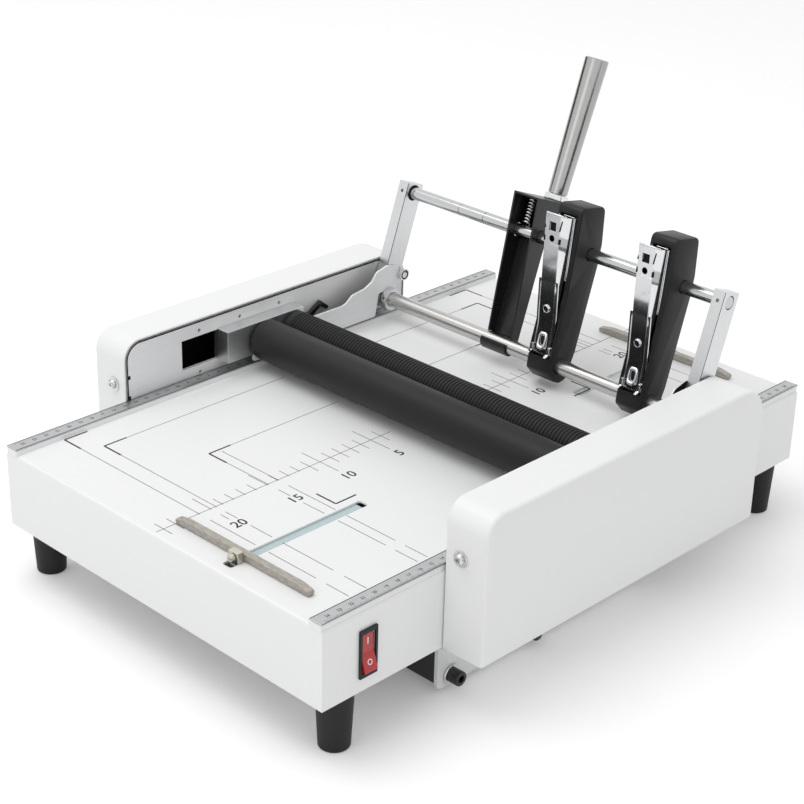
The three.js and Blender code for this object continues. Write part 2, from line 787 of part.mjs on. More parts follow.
// Yoke plates: they stand on the carriage behind the brackets, reach over the lower shaft, and the
// crank bolts push their upright rear edges forward as the frame swings
function yokePlate(s) {
  const back = (distance) => frame.pivotY - distance;
  const shaftTop = frame.pivotRise + frame.lowerRadius + sideGap + seatGap;
  const rearEdge = crankY - crank.shankRadius - yoke.freePlay;
  const barFront = bracket.rear + seatGap;
  const inner = s * bracketInner;
  const face = outline([
    [yoke.strapFront, top + yoke.strapBottom, yoke.round],
    [back(yoke.gateBack + yoke.gateSlope), top + yoke.strapBottom, yoke.round],
    [back(yoke.gateBack), top + shaftTop, yoke.round],
    [rearEdge, top + shaftTop, yoke.round],
    [rearEdge, top + yoke.lugRise, yoke.softRound],
    [back(yoke.crestBack), top + yoke.crestRise, yoke.crestRound],
    [back(yoke.browBack), top + yoke.browRise, yoke.softRound],
    [back(yoke.neckBack), top + yoke.neckRise, yoke.softRound],
    [back(yoke.shoulderBack), top + yoke.shoulderRise, yoke.softRound],
    [back(yoke.shelfBack), top + yoke.shelfRise, yoke.softRound],
    [back(yoke.stepBack), top + yoke.stepRise, yoke.round],
    [back(yoke.tailBack), top + yoke.barTop, yoke.round],
    [barFront, top + yoke.barTop],
    [barFront, top + yoke.strapTop],
    [yoke.strapFront, top + yoke.strapTop, yoke.round],
  ]);
  return alongX(face, inner, inner + s * yoke.thickness);
}

for (const [hand, s] of sides) {
  add(machine, `roller_bracket_${hand}`, rollerBracket(s), satinSteel);
  add(machine, `yoke_plate_${hand}`, yokePlate(s), satinSteel);
}

// Latch hook behind the left bracket
function latchHook() {
  const root = bracket.rear + seatGap;
  const low = top + bracket.bottom + hook.rise;
  const high = low + hook.bar;
  const apex = root + hook.apexBack;
  const tip = root + hook.tipBack;
  const face = outline([
    [root, low],
    [root + hook.elbow + hook.bar / 2, low],
    [apex, high + hook.apexRise - hook.bar],
    [tip, low + hook.bar / 2],
    [tip + hook.bar / 2, high],
    [apex, high + hook.apexRise, hook.bar / 4],
    [root + hook.elbow, high],
    [root, high],
  ]);
  const outer = -plateInner + sideGap;
  return alongX(face, outer, outer + hook.width);
}
add(machine, "latch_hook", latchHook(), blackPaint);

// Bolts that hold the drive box between the skirts, each with its washer under the head
function skirtBolt(s) {
  const face = s * (skirtOuter + seatGap);
  const headStart = face + s * washer.thickness;
  const end = headStart + s * tabBolt.headLength;
  const body = join(
    rodX(washer.radius, face, headStart, 0, 0),
    rodX(tabBolt.headRadius, face, end, 0, 0),
    rodX(tabBolt.shankRadius, headStart, face - s * tabBolt.shankLength, 0, 0),
  );
  return cut(body, rodX(washer.socketRadius, end - s * washer.socketDepth, end + s * overrun, 0, 0, 6));
}
for (const [hand, s] of sides) {
  onAxis(add(machine, `skirt_bolt_${hand}`, skirtBolt(s), blackPaint), tabBolt.y, tabBoltZ);
}

// Stapling frame: everything below is placed in its own leaning frame, Y across and Z along the arms
const stapling = new THREE.Group();
stapling.position.set(0, frame.pivotY, pivotZ);
stapling.rotation.x = -lean;
machine.add(stapling);

add(stapling, "lower_shaft", rodX(frame.lowerRadius, -lowerEnd, lowerEnd, 0, 0), satinSteel);

function upperShaft() {
  const profile = [[0, -armOuter], [upper.radius, -armOuter]];
  for (const middle of [-upper.outerGroove, -upper.innerGroove]) {
    const low = middle - upper.grooveWidth / 2;
    const high = middle + upper.grooveWidth / 2;
    const waist = upper.radius - upper.grooveDepth;
    profile.push([upper.radius, low], [waist, low], [waist, high], [upper.radius, high]);
  }
  profile.push([upper.radius, armOuter], [0, armOuter]);
  return turnedX(profile);
}
add(stapling, "upper_shaft", upperShaft(), chrome).position.z = upper.along;

// Arms: flat bars between the shafts, with a boss for the crank bolt and a set-screw hole
function frameArm(s) {
  const half = arm.width / 2;
  const inner = s * armInner;
  const outer = inner + s * arm.thickness;
  const heel = half - seatGap;
  const face = outline([[-half, -half, heel], [half, -half, heel], [half, arm.top], [-half, arm.top]]);
  const through = [inner - s * overrun, outer + s * overrun];
  const screwX = (inner + outer) / 2;
  return cut(
    join(alongX(face, inner, outer), rodX(arm.bossRadius, inner, outer, crankAcross, crankAlong)),
    rodX(frame.lowerRadius + seatGap, ...through, 0, 0),
    rodX(upper.radius + seatGap, ...through, 0, upper.along),
    rodX(crank.shankRadius + seatGap, ...through, crankAcross, crankAlong, smallSegments),
    rodY(arm.screwRadius, -half - overrun, -upper.radius, screwX, upper.along),
  );
}

// Crank bolts: their heads stand inside the yoke plates and their shanks go into the arms
function crankBolt(s) {
  const yokeFace = s * (bracketInner - seatGap);
  const headEnd = yokeFace - s * crank.headLength;
  const body = join(
    rodX(crank.headRadius, headEnd, yokeFace, 0, 0, smallSegments),
    rodX(crank.shankRadius, headEnd, s * (armInner + arm.thickness / 2), 0, 0, smallSegments),
  );
  const socketEnd = headEnd + (s * crank.headLength) / 2;
  return cut(body, rodX(crank.socketRadius, headEnd - s * overrun, socketEnd, 0, 0, 6));
}

// Collars: clamped round the lower shaft beside the yoke plates
function shaftCollar(s) {
  const outer = s * (bracketInner - seatGap);
  const inner = outer - s * collar.width;
  return cut(
    rodX(collar.radius, inner, outer, 0, 0),
    rodX(frame.lowerRadius + seatGap, inner - s * overrun, outer + s * overrun, 0, 0),
    rodY(collar.screwRadius, -collar.radius - overrun, -frame.lowerRadius, (inner + outer) / 2, 0),
  );
}
for (const [hand, s] of sides) {
  add(stapling, `frame_arm_${hand}`, frameArm(s), aluminium);
  const bolt = add(stapling, `crank_bolt_${hand}`, crankBolt(s), chrome);
  bolt.position.set(0, crankAcross, crankAlong);
  add(stapling, `shaft_collar_${hand}`, shaftCollar(s), aluminium);
}

// Handle channel: folded sheet, open to the front, with a flared top and a lip round the lower shaft
const channelRight = channel.left + channel.width;
const handleX = (channel.left + channelRight) / 2;
const handleTilt = THREE.MathUtils.degToRad(handle.tilt);
const channelTop = (across) => channel.top - Math.tan(handleTilt) * (across - channel.frontTop);
const onHandle = (geometry) => geometry
  .rotateX(-handleTilt)
  .translate(handleX, handle.across, channelTop(handle.across));
function handleChannel() {
  const t = channel.sheet;
  const face = outline([
    [channel.frontBottom, channel.bottom],
    [channel.web, channel.bottom],
    [channel.web, channel.flareStart],
    [channel.flareReach, channel.flareEnd],
    [channel.flareReach, channelTop(channel.flareReach)],
    [channel.frontTop, channel.top],
  ]);
  const hollow = outline([
    [channel.frontTop - overrun, channel.bottom - overrun],
    [channel.web - t, channel.bottom - overrun],
    [channel.web - t, channel.flareStart + t],
    [channel.flareReach - t, channel.flareEnd + t],
    [channel.flareReach - t, channelTop(channel.flareReach - t) - t],
    [channel.frontTop - overrun, channelTop(channel.frontTop - overrun) - t],
  ]);
  const lipInner = frame.lowerRadius + runningGap;
  const from = THREE.MathUtils.degToRad(channel.lipStart);
  const to = THREE.MathUtils.degToRad(channel.lipEnd);
  const ring = new THREE.Shape();
  ring.absarc(0, 0, lipInner + t, from, to, true);
  ring.absarc(0, 0, lipInner, to, from, false);
  const lip = new THREE.ExtrudeGeometry(ring, {
    depth: channel.width,
    bevelEnabled: false,
    curveSegments: roundSegments / 2,
  });
  lip.applyMatrix4(sideView).translate(channel.left, 0, 0);
  const ends = [channel.left - overrun, channelRight + overrun];
  const folded = cut(
    alongX(face, channel.left, channelRight),
    alongX(hollow, channel.left + t, channelRight - t),
    rodX(lipInner, ...ends, 0, 0),
    rodX(upper.radius + runningGap, ...ends, 0, upper.along),
    onHandle(rodZ(handle.stemRadius + seatGap, -2 * t, overrun, 0, 0)),
  );
  return join(folded, lip);
}
add(stapling, "handle_channel", handleChannel(), blackPaint);

// Handle nut and the tapered tube, whose stem passes through the nut into the channel
const nutTop = seatGap + handle.nutHeight;
const nutRadius = handle.nutAcrossFlats / 2 / Math.cos(Math.PI / 6);
add(stapling, "handle_nut", onHandle(cut(
  rodZ(nutRadius, seatGap, nutTop, 0, 0, 6),
  rodZ(handle.stemRadius + seatGap, -overrun, nutTop + overrun, 0, 0),
)), chrome);
add(stapling, "handle_tube", onHandle(turnedZ([
  [0, -handle.stemDepth],
  [handle.stemRadius, -handle.stemDepth],
  [handle.stemRadius, nutTop + seatGap],
  [handle.bottomRadius, nutTop + seatGap],
  [handle.topRadius, handle.end - handle.chamfer],
  [handle.topRadius - handle.chamfer, handle.end],
  [handle.bore, handle.end],
  [handle.bore, handle.end - handle.boreDepth],
  [0, handle.end - handle.boreDepth],
])), chrome);

// Handle spring: one unbroken wire coiled between the upper shaft and the channel's top plate
function coilSpring() {
  const bottom = upper.along + upper.radius + runningGap + spring.wire;
  const ceiling = channelTop(spring.radius + spring.wire) - channel.sheet;
  const rise = ceiling - seatGap - spring.wire - bottom;
  const rings = spring.turns * spring.steps;
  const middle = (k) => {
    const turn = (2 * Math.PI * k) / spring.steps;
    const [x, y] = [spring.radius * Math.cos(turn), spring.radius * Math.sin(turn)];
    return new THREE.Vector3(x, y, bottom + (rise * k) / rings);
  };
  const positions = [];
  for (let k = 0; k <= rings; k += 1) {
    const centre = middle(k);
    const outward = new THREE.Vector3(centre.x, centre.y, 0).normalize();
    for (let j = 0; j < spring.sides; j += 1) {
      const turn = (2 * Math.PI * j) / spring.sides;
      const point = centre.clone().addScaledVector(outward, spring.wire * Math.cos(turn));
      positions.push(point.x, point.y, point.z + spring.wire * Math.sin(turn));
    }
  }
  const index = [];
  const at = (k, j) => k * spring.sides + (j % spring.sides);
  for (let k = 0; k < rings; k += 1) {
    for (let j = 0; j < spring.sides; j += 1) {
      index.push(at(k, j), at(k + 1, j), at(k, j + 1));
      index.push(at(k, j + 1), at(k + 1, j), at(k + 1, j + 1));
    }
  }
  for (let j = 1; j < spring.sides - 1; j += 1) {
    index.push(at(0, 0), at(0, j), at(0, j + 1));
    index.push(at(rings, 0), at(rings, j + 1), at(rings, j));
  }
  let least = Infinity;
  for (let a = 0; a <= rings; a += 1) {
    for (let b = a + spring.steps / 2; b <= rings; b += 1) {
      least = Math.min(least, middle(a).distanceTo(middle(b)) - 2 * spring.wire);
    }
  }
  console.log(`handle spring: least gap to itself ${least.toFixed(2)} mm`);
  const geometry = new THREE.BufferGeometry();
  geometry.setAttribute("position", new THREE.Float32BufferAttribute(positions, 3));
  geometry.setIndex(index);
  geometry.computeVertexNormals();
  return geometry;
}
add(stapling, "handle_spring", coilSpring(), chrome).position.x = channel.left + spring.fromLeft;

// Stapler heads: a black housing round both shafts, with its lever and its hinged magazine
function housing() {
  const face = outline(housingShares.map(([across, along, round]) => [
    head.front + across * head.depth, head.bottom + along * head.length, round * head.depth,
  ]));
  const body = softExtrusion(face, head.width, head.edgeRound).applyMatrix4(sideView);
  body.translate(head.edgeRound - head.width / 2, 0, 0);
  const ahead = head.front - head.depth;
  const groove = outline([
    [ahead, head.grooveBottom],
    [head.floorLow, head.grooveBottom],
    [head.floorHigh, head.grooveTop],
    [ahead, head.grooveTop],
  ]);
  const sink = Math.tan(THREE.MathUtils.degToRad(magazine.tilt));
  const behind = (along) => magazine.wall + sideGap + sink * Math.max(0, along - magazine.pivotAlong);
  const shoulderFront = THREE.MathUtils.mapLinear(
    head.shoulderTop, magazine.shoulder, magazine.knee, magazine.frontShoulder, magazine.frontKnee,
  );
  const shoulder = outline([
    [ahead, head.grooveBottom],
    [magazine.frontBottom + behind(head.grooveBottom), head.grooveBottom],
    [magazine.frontShoulder + behind(magazine.shoulder), magazine.shoulder],
    [shoulderFront + behind(head.shoulderTop), head.shoulderTop],
    [ahead, head.shoulderTop],
  ]);
  const half = head.width / 2 + overrun;
  const wide = magazine.flareWidth / 2 + sideGap;
  return cut(
    body,
    alongX(groove, -head.grooveWidth / 2, head.grooveWidth / 2),
    alongX(shoulder, -wide, wide),
    rodX(frame.lowerRadius + runningGap, -half, half, 0, 0),
    rodX(upper.radius + runningGap, -half, half, 0, upper.along),
    rodX(magazine.pinRadius + seatGap, -magazine.pinReach - seatGap, magazine.pinReach + seatGap,
      magazine.pivotAcross, magazine.pivotAlong, smallSegments),
  );
}

function magazineShell() {
  const m = magazine;
  const front = [
    [m.frontTop, m.top],
    [m.frontKnee, m.knee],
    [m.frontShoulder, m.shoulder],
    [m.frontBottom, m.bottom],
  ];
  const rear = [
    [m.frontBottom + m.depthBottom, m.bottom],
    [m.frontShoulder + m.depthShoulder, m.shoulder],
    [m.frontKnee + m.depthKnee, m.knee],
    [m.frontTop + m.depthTop, m.top],
  ];
  const hollow = [
    [m.frontTop + m.wall, m.top - m.wall],
    [m.frontKnee + m.wall, m.knee],
    [m.frontShoulder + m.wall, m.shoulder],
    [0, m.shoulder],
    [0, m.top + overrun],
    [m.frontTop + m.endDepth, m.top + overrun],
    [m.frontTop + m.endDepth, m.top - m.wall],
  ];
  const flareFront = THREE.MathUtils.mapLinear(m.flareTop, m.shoulder, m.knee, m.frontShoulder, m.frontKnee);
  const flare = [
    [flareFront, m.flareTop],
    [m.frontShoulder, m.shoulder],
    [m.frontBottom, m.bottom],
    [m.frontBottom + m.wall, m.bottom],
    [m.frontShoulder + m.wall, m.shoulder],
    [flareFront + m.wall, m.flareTop],
  ];
  const half = m.width / 2;
  const halfHole = m.squareHole / 2;
  const holeFront = m.frontTop - overrun;
  const holeRear = (along) => THREE.MathUtils.mapLinear(along, m.knee, m.top, m.frontKnee, m.frontTop)
    + 2 * m.wall;
  return cut(
    join(
      alongX(outline([...front, ...rear]), -half, half),
      alongX(outline(flare), -m.flareWidth / 2, m.flareWidth / 2),
      rodX(m.pinRadius, -m.pinReach, m.pinReach, m.pivotAcross, m.pivotAlong, smallSegments),
    ),
    alongX(outline(hollow), -half + m.wall, half - m.wall),
    block(-halfHole, halfHole, holeFront, holeRear(m.squareAlong),
      m.squareAlong - halfHole, m.squareAlong + halfHole),
    rodY(m.roundHole, holeFront, holeRear(m.roundAlong), 0, m.roundAlong),
    rodY(m.roundHole, holeFront, m.frontShoulder + m.wall, 0, m.lowHoleAlong),
  );
}

function pressLever() {
  const floor = (along) => THREE.MathUtils.mapLinear(
    along, head.grooveBottom, head.grooveTop, head.floorLow, head.floorHigh,
  ) - seatGap;
  const face = outline([
    [lever.frontTop, lever.top],
    [lever.frontKnee, lever.knee],
    [lever.frontBottom, lever.bottom],
    [floor(lever.bottom), lever.bottom],
    [floor(lever.top), lever.top],
  ]);
  return alongX(face, -lever.width / 2, lever.width / 2);
}

for (const [hand, x] of [["left", head.leftX], ["right", headRightX]]) {
  const stapler = new THREE.Group();
  stapler.position.x = x;
  stapling.add(stapler);
  add(stapler, `stapler_housing_${hand}`, housing(), blackPlastic);
  add(stapler, `stapler_lever_${hand}`, pressLever(), chrome);
  add(stapler, `stapler_magazine_${hand}`, magazineShell(), chrome);
}

// Paper stops: bar, clamp block with its foot under the table, and clamp screw
function stopBarShape() {
  const half = stopBar.length / 2;
  const round = stopBar.round;
  const low = top + seatGap;
  const high = low + stopBar.height;
  return outline([
    [-half, low, round],
    [half, low, round],
    [half, low + stopBar.noseHeight, round],
    [half - stopBar.nose, high, round],
    [stopBar.nose - half, high, round],
    [-half, low + stopBar.noseHeight, round],
  ]);
}

function clampBlock() {
  const half = clamp.width / 2;
  const y0 = stopBar.depth / 2 + seatGap;
  const y1 = y0 + clamp.depth;
  const stem = slot.width / 2 - sideGap;
  const under = top - table.sheet - seatGap;
  const screwZ = top + seatGap + clamp.height / 2;
  return cut(
    join(
      block(-half, half, y0, y1, top + seatGap, top + seatGap + clamp.height),
      block(-stem, stem, y0 + seatGap, y1 - seatGap, under - clamp.footThickness, top + clamp.height / 2),
      block(-clamp.footWidth / 2, clamp.footWidth / 2, y0, y1, under - clamp.footThickness, under),
    ),
    rodY(clampScrew.shankRadius + seatGap, y1 - clampScrew.shankLength - seatGap, y1 + overrun, 0, screwZ),
  );
}

function clampScrewShape() {
  const body = join(
    rodY(clampScrew.headRadius, 0, clampScrew.headLength, 0, 0),
    rodY(clampScrew.shankRadius, -clampScrew.shankLength, clampScrew.headLength, 0, 0),
  );
  const { headRadius, headLength, slit } = clampScrew;
  return cut(body, block(-headRadius - seatGap, headRadius + seatGap,
    headLength - slit, headLength + overrun, -slit / 2, slit / 2));
}

for (const [end, side, x] of [["front", -1, slot.frontX], ["rear", 1, slot.rearX]]) {
  const stop = new THREE.Group();
  stop.position.set(x, side * stopPlace, 0);
  stop.rotation.z = side > 0 ? 0 : Math.PI;
  machine.add(stop);
  const halfDepth = stopBar.depth / 2;
  add(stop, `stop_bar_${end}`, alongY(stopBarShape(), -halfDepth, halfDepth), blastedSteel);
  add(stop, `clamp_block_${end}`, clampBlock(), zinc);
  const screw = add(stop, `clamp_screw_${end}`, clampScrewShape(), zinc);
  screw.position.set(0, halfDepth + 2 * seatGap + clamp.depth, top + seatGap + clamp.height / 2);
}

// Mains switch: bezel with its body behind the apron, and the rocker on its pivot
const rockerZ = top - rocker.drop;
const rockerX = halfWidth;
function switchBezel() {
  const halfY = bezel.width / 2;
  const halfZ = bezel.height / 2;
  const inner = bezel.rim + seatGap;
  const proud = rockerX + seatGap;
  const wellY = rocker.width / 2 + seatGap;
  const wellZ = rocker.height / 2 + seatGap;
  return cut(
    join(
      block(proud, proud + bezel.proud, -halfY, halfY, -halfZ, halfZ),
      block(rockerX - bezel.bodyDepth, proud + bezel.proud, inner - halfY, halfY - inner,
        inner - halfZ, halfZ - inner),
    ),
    block(rockerX - 2 * rocker.depth, proud + bezel.proud + overrun, -wellY, wellY, -wellZ, wellZ),
  );
}
onAxis(add(machine, "switch_bezel", switchBezel(), blackPlastic), rockerY, rockerZ);

// Rocker: two flat faces that meet at its pivot line, tilted so that the lower end stands out
function rockerShape() {
  const half = rocker.height / 2 - sideGap;
  const tilt = THREE.MathUtils.degToRad(rocker.tilt);
  const drop = half * Math.tan(tilt);
  const corners = [
    [-rocker.depth, -half],
    [rocker.crown, -half],
    [rocker.crown - drop, 0],
    [rocker.crown, half],
    [-rocker.depth, half],
  ];
  const tilted = corners.map(([x, z]) => new THREE.Vector2(x, z).rotateAround(new THREE.Vector2(), tilt));
  return alongY(outline(tilted.map(({ x, y }) => [x, y])), -rocker.width / 2, rocker.width / 2);
}
const rockerMesh = add(machine, "switch_rocker", rockerShape(), redPlastic);
rockerMesh.position.set(rockerX, rockerY, rockerZ);

// Mains inlet: it fills its cut-out in the rear apron, flush with the outside
function powerInlet() {
  const halfX = inlet.width / 2;
  const halfZ = inlet.height / 2;
  const inset = inlet.bodyInset;
  const wall = inset + inlet.wall;
  return cut(
    join(
      block(-halfX, halfX, halfLength - inlet.flange, halfLength, -halfZ, halfZ),
      block(inset - halfX, halfX - inset, halfLength - inlet.bodyDepth, halfLength,
        inset - halfZ, halfZ - inset),
    ),
    block(wall - halfX, halfX - wall, halfLength - inlet.bodyDepth + inlet.wall, halfLength + overrun,
      wall - halfZ, halfZ - wall),
  );
}
add(machine, "power_inlet", powerInlet(), blackPlastic).position.set(inlet.x, 0, top - inlet.drop);

export default machine;
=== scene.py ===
# %% [markdown]
# # A table-top booklet stapler and folder, dressed in Blender
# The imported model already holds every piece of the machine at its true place. A bare solid looks
# like a toy, though: its edges are razor sharp and its surfaces have no grain. This lesson gives
# each piece the finish of the real one, makes the round pieces round, and adds the small things
# that the eye expects: printed scales, screws, rings on a roller and a lit rocker switch.
#
# The first step loads the model as a fixed frame. Nothing in it is moved afterwards.

import json
import math
import bmesh
import bpy
import numpy as np
from mathutils import Matrix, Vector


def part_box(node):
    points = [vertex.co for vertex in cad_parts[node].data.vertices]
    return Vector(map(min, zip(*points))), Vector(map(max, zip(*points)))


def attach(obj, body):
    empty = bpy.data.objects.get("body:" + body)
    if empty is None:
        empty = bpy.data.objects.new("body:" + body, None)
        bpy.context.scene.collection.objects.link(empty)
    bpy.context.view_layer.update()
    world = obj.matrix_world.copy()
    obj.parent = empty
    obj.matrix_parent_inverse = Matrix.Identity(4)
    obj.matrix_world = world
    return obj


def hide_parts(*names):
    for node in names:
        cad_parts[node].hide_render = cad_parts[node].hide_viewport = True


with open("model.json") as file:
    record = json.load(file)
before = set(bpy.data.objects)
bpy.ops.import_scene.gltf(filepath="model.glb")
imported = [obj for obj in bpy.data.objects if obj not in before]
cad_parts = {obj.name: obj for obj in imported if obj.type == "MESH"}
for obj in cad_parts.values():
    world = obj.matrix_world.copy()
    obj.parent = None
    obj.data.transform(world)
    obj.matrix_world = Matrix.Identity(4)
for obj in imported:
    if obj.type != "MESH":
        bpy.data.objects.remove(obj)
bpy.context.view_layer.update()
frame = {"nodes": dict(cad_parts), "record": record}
record = frame["record"]
body_of = {node: body for body, nodes in record["behaviour"]["bodies"].items() for node in nodes}
slot_of = {entry["node"]: entry["material_slot"] for entry in record["subparts"]}

# %% [markdown]
# ## The camera
# The photograph was taken with a long lens from the front right, a little above the machine. The
# centimetre scales in it fix where the camera stood, so its place is written here as a point and
# three directions. A camera looks along its own -Z axis, so its third direction is the way back.

# %% Camera
MM = 0.001
camera_place = np.array([865.2, -915.0, 715.5]) * MM
camera_right = np.array([0.71157, 0.70224, 0.02302])
camera_ahead = np.array([-0.62637, 0.64900, -0.43180])
camera_ahead -= camera_right * camera_right.dot(camera_ahead)
camera_ahead /= np.linalg.norm(camera_ahead)
# The width of the photograph and the focal length that its scales give, both in pixels
photo_width, focal_length = 804.0, 1907.38


def stance(right, up, back, spot):
    """The matrix that turns an object's X, Y and Z to three directions and puts it at a spot."""
    made = np.eye(4)
    made[:3] = np.column_stack([right, up, back, spot])
    return Matrix(made.tolist())


def in_scene(name, data):
    """A new object in the scene, with the given data."""
    obj = bpy.data.objects.new(name, data)
    bpy.context.scene.collection.objects.link(obj)
    return obj


lens = bpy.data.cameras.new("photo_lens")
lens.sensor_width = 36.0
lens.lens = lens.sensor_width * focal_length / photo_width
lens.clip_end = 20.0
camera = in_scene("photo_camera", lens)
camera.matrix_world = stance(camera_right, np.cross(camera_right, camera_ahead), -camera_ahead, camera_place)
bpy.context.scene.camera = camera
bpy.context.scene.view_settings.view_transform = "Standard"
print("lens", round(lens.lens, 2), "mm")

# %% [markdown]
# ## Shader helpers
# A material is a small network of nodes. One helper places a node and connects it, and the others
# build on it, so that each network below reads like a list. A value in `inputs` is either a plain
# number or colour, set on the socket itself, or the output of another node, which is linked.

# %% Placing shader nodes
def place(tree, kind, inputs=None, **settings):
    """One shader node with its settings, its constants and its links."""
    made = tree.nodes.new(kind)
    for name, value in settings.items():
        setattr(made, name, value)
    for key, value in (inputs or {}).items():
        if isinstance(value, bpy.types.NodeSocket):
            tree.links.new(value, made.inputs[key])
        else:
            made.inputs[key].default_value = value
    return made


def mixed(tree, share, first, second):
    """A colour that goes from the first to the second as the share goes from 0 to 1. Each of them is
    three numbers or another node's output."""
    first, second = (colour if isinstance(colour, bpy.types.NodeSocket) else (*colour, 1.0)
                     for colour in (first, second))
    return place(tree, "ShaderNodeMix", {0: share, 6: first, 7: second}, data_type="RGBA").outputs[2]


def calculated(tree, operation, *values, clamp=False):
    """The result of one calculation with numbers or other nodes' outputs."""
    made = place(tree, "ShaderNodeMath", dict(enumerate(values)), operation=operation, use_clamp=clamp)
    return made.outputs[0]


def effect(name, outputs, **inputs):
    """An empty node group with named outputs, and named inputs with the values they start from."""
    tree = bpy.data.node_groups.new(name, "ShaderNodeTree")
    for label, value in inputs.items():
        kind = "NodeSocketVector" if isinstance(value, tuple) else "NodeSocketFloat"
        tree.interface.new_socket(label, in_out="INPUT", socket_type=kind).default_value = value
    for label in outputs:
        tree.interface.new_socket(label, in_out="OUTPUT", socket_type="NodeSocketFloat")
    return tree, tree.nodes.new("NodeGroupInput").outputs, tree.nodes.new("NodeGroupOutput").inputs

# %% [markdown]
# ## Three effects that many finishes share
# Grain is noise in the object's own coordinates. A stretch that differs by axis turns it into the
# lines that a grinding belt leaves. A painted edge highlight finds edges: the Bevel node gives the normal
# that a rounded edge would have, and where it turns away from the true normal there is an edge. Rest
# dust lies on what faces up. Each is a group, built once and used with different numbers.

# %% Effect: grain
grain, asked, given = effect("surface_grain", ("Mask", "Height"), Size=500.0, Stretch=(1.0, 1.0, 1.0),
                             Contrast=1.0)
where = place(grain, "ShaderNodeTexCoord").outputs["Object"]
stretched = place(grain, "ShaderNodeVectorMath", {0: where, 1: asked["Stretch"]}, operation="MULTIPLY")
noise = place(grain, "ShaderNodeTexNoise", {
    "Vector": stretched.outputs[0], "Scale": asked["Size"], "Detail": 4.0, "Roughness": 0.6,
})
centred = calculated(grain, "SUBTRACT", noise.outputs["Fac"], 0.5)
spread = calculated(grain, "MULTIPLY_ADD", centred, asked["Contrast"], 0.5, clamp=True)
grain.links.new(spread, given["Mask"])
grain.links.new(noise.outputs["Fac"], given["Height"])
print("effect", grain.name)

# %% Effect: painted edge highlight
painted_edge_highlight, asked, given = effect("painted_edge_highlight", ("Mask",), Radius=0.0006, Gain=4.0)
true_normal = place(painted_edge_highlight, "ShaderNodeNewGeometry").outputs["Normal"]
soft_normal = place(painted_edge_highlight, "ShaderNodeBevel", {"Radius": asked["Radius"]}, samples=4).outputs[0]
alike = place(painted_edge_highlight, "ShaderNodeVectorMath", {0: true_normal, 1: soft_normal}, operation="DOT_PRODUCT")
apart = calculated(painted_edge_highlight, "SUBTRACT", 1.0, alike.outputs["Value"])
strong = calculated(painted_edge_highlight, "MULTIPLY", apart, asked["Gain"], clamp=True)
painted_edge_highlight.links.new(strong, given["Mask"])
print("effect", painted_edge_highlight.name)

# %% Effect: dust at rest
rest_dust, asked, given = effect("rest_dust", ("Mask",), Amount=0.1, Size=60.0)
facing = place(rest_dust, "ShaderNodeSeparateXYZ",
               {0: place(rest_dust, "ShaderNodeNewGeometry").outputs["Normal"]})
upward = place(rest_dust, "ShaderNodeMapRange", {0: facing.outputs["Z"], 1: 0.5, 2: 1.0, 3: 0.0, 4: 1.0})
patches = place(rest_dust, "ShaderNodeTexNoise", {
    "Vector": place(rest_dust, "ShaderNodeTexCoord").outputs["Object"], "Scale": asked["Size"],
    "Detail": 6.0, "Roughness": 0.7,
})
drift = calculated(rest_dust, "MULTIPLY", upward.outputs[0], patches.outputs["Fac"])
amount = calculated(rest_dust, "MULTIPLY", drift, asked["Amount"])
rest_dust.links.new(amount, given["Mask"])
print("effect", rest_dust.name)

# %% [markdown]
# ## Finishes
# Paint, rubber, plastic and metal differ in a few numbers: two close colours between which the grain
# wanders, the roughness at both ends of the grain, how deep the grain is, and the colour of the painted
# highlight on edges. So one function makes every finish, and the list below holds the numbers. A
# constant such as Metallic is set on the shader itself.

# %% One function for every finish
dust_colour = (0.5, 0.49, 0.47)


def blank(name):
    """A new material with its network and its Principled shader."""
    made = bpy.data.materials.new(name)
    made.use_nodes = True
    return made, made.node_tree, made.node_tree.nodes["Principled BSDF"]


def finish(name, colours, rough, size, stretch=(1, 1, 1), contrast=2.0, depth=0.02, edge=None,
           dust=0.0, **constants):
    """A Principled material whose colour and roughness follow the grain between two values each."""
    made, tree, shader = blank(name)
    lines = place(tree, "ShaderNodeGroup", {"Size": size, "Stretch": stretch, "Contrast": contrast},
                  node_tree=grain)
    colour = mixed(tree, lines.outputs["Mask"], *colours)
    # Painted highlight: at edges the colour moves towards a lighter one, as where light catches them
    if edge:
        edge_colour, gain = edge
        shine = place(tree, "ShaderNodeGroup", {"Gain": gain}, node_tree=painted_edge_highlight)
        colour = mixed(tree, shine.outputs["Mask"], colour, edge_colour)
    if dust:
        layer = place(tree, "ShaderNodeGroup", {"Amount": dust}, node_tree=rest_dust)
        colour = mixed(tree, layer.outputs["Mask"], colour, dust_colour)
    tree.links.new(colour, shader.inputs["Base Color"])
    rub = place(tree, "ShaderNodeMapRange", {0: lines.outputs["Mask"], 3: rough[0], 4: rough[1]})
    tree.links.new(rub.outputs[0], shader.inputs["Roughness"])
    relief = place(tree, "ShaderNodeBump", {"Height": lines.outputs["Height"], "Strength": 1.0,
                                            "Distance": depth * MM})
    tree.links.new(relief.outputs[0], shader.inputs["Normal"])
    for socket, value in constants.items():
        shader.inputs[socket.replace("_", " ")].default_value = value
    return made

# %% [markdown]
# The table and the covers are white powder coat: almost smooth, with a fine orange peel. The rollers
# are ground rubber, so their grain runs round them. The shafts, plates and rulers are ground along
# their length. The stop bars are sand-blasted, so they have a coarse even grain. The chrome of the
# stapler magazines is bright and only a little uneven.

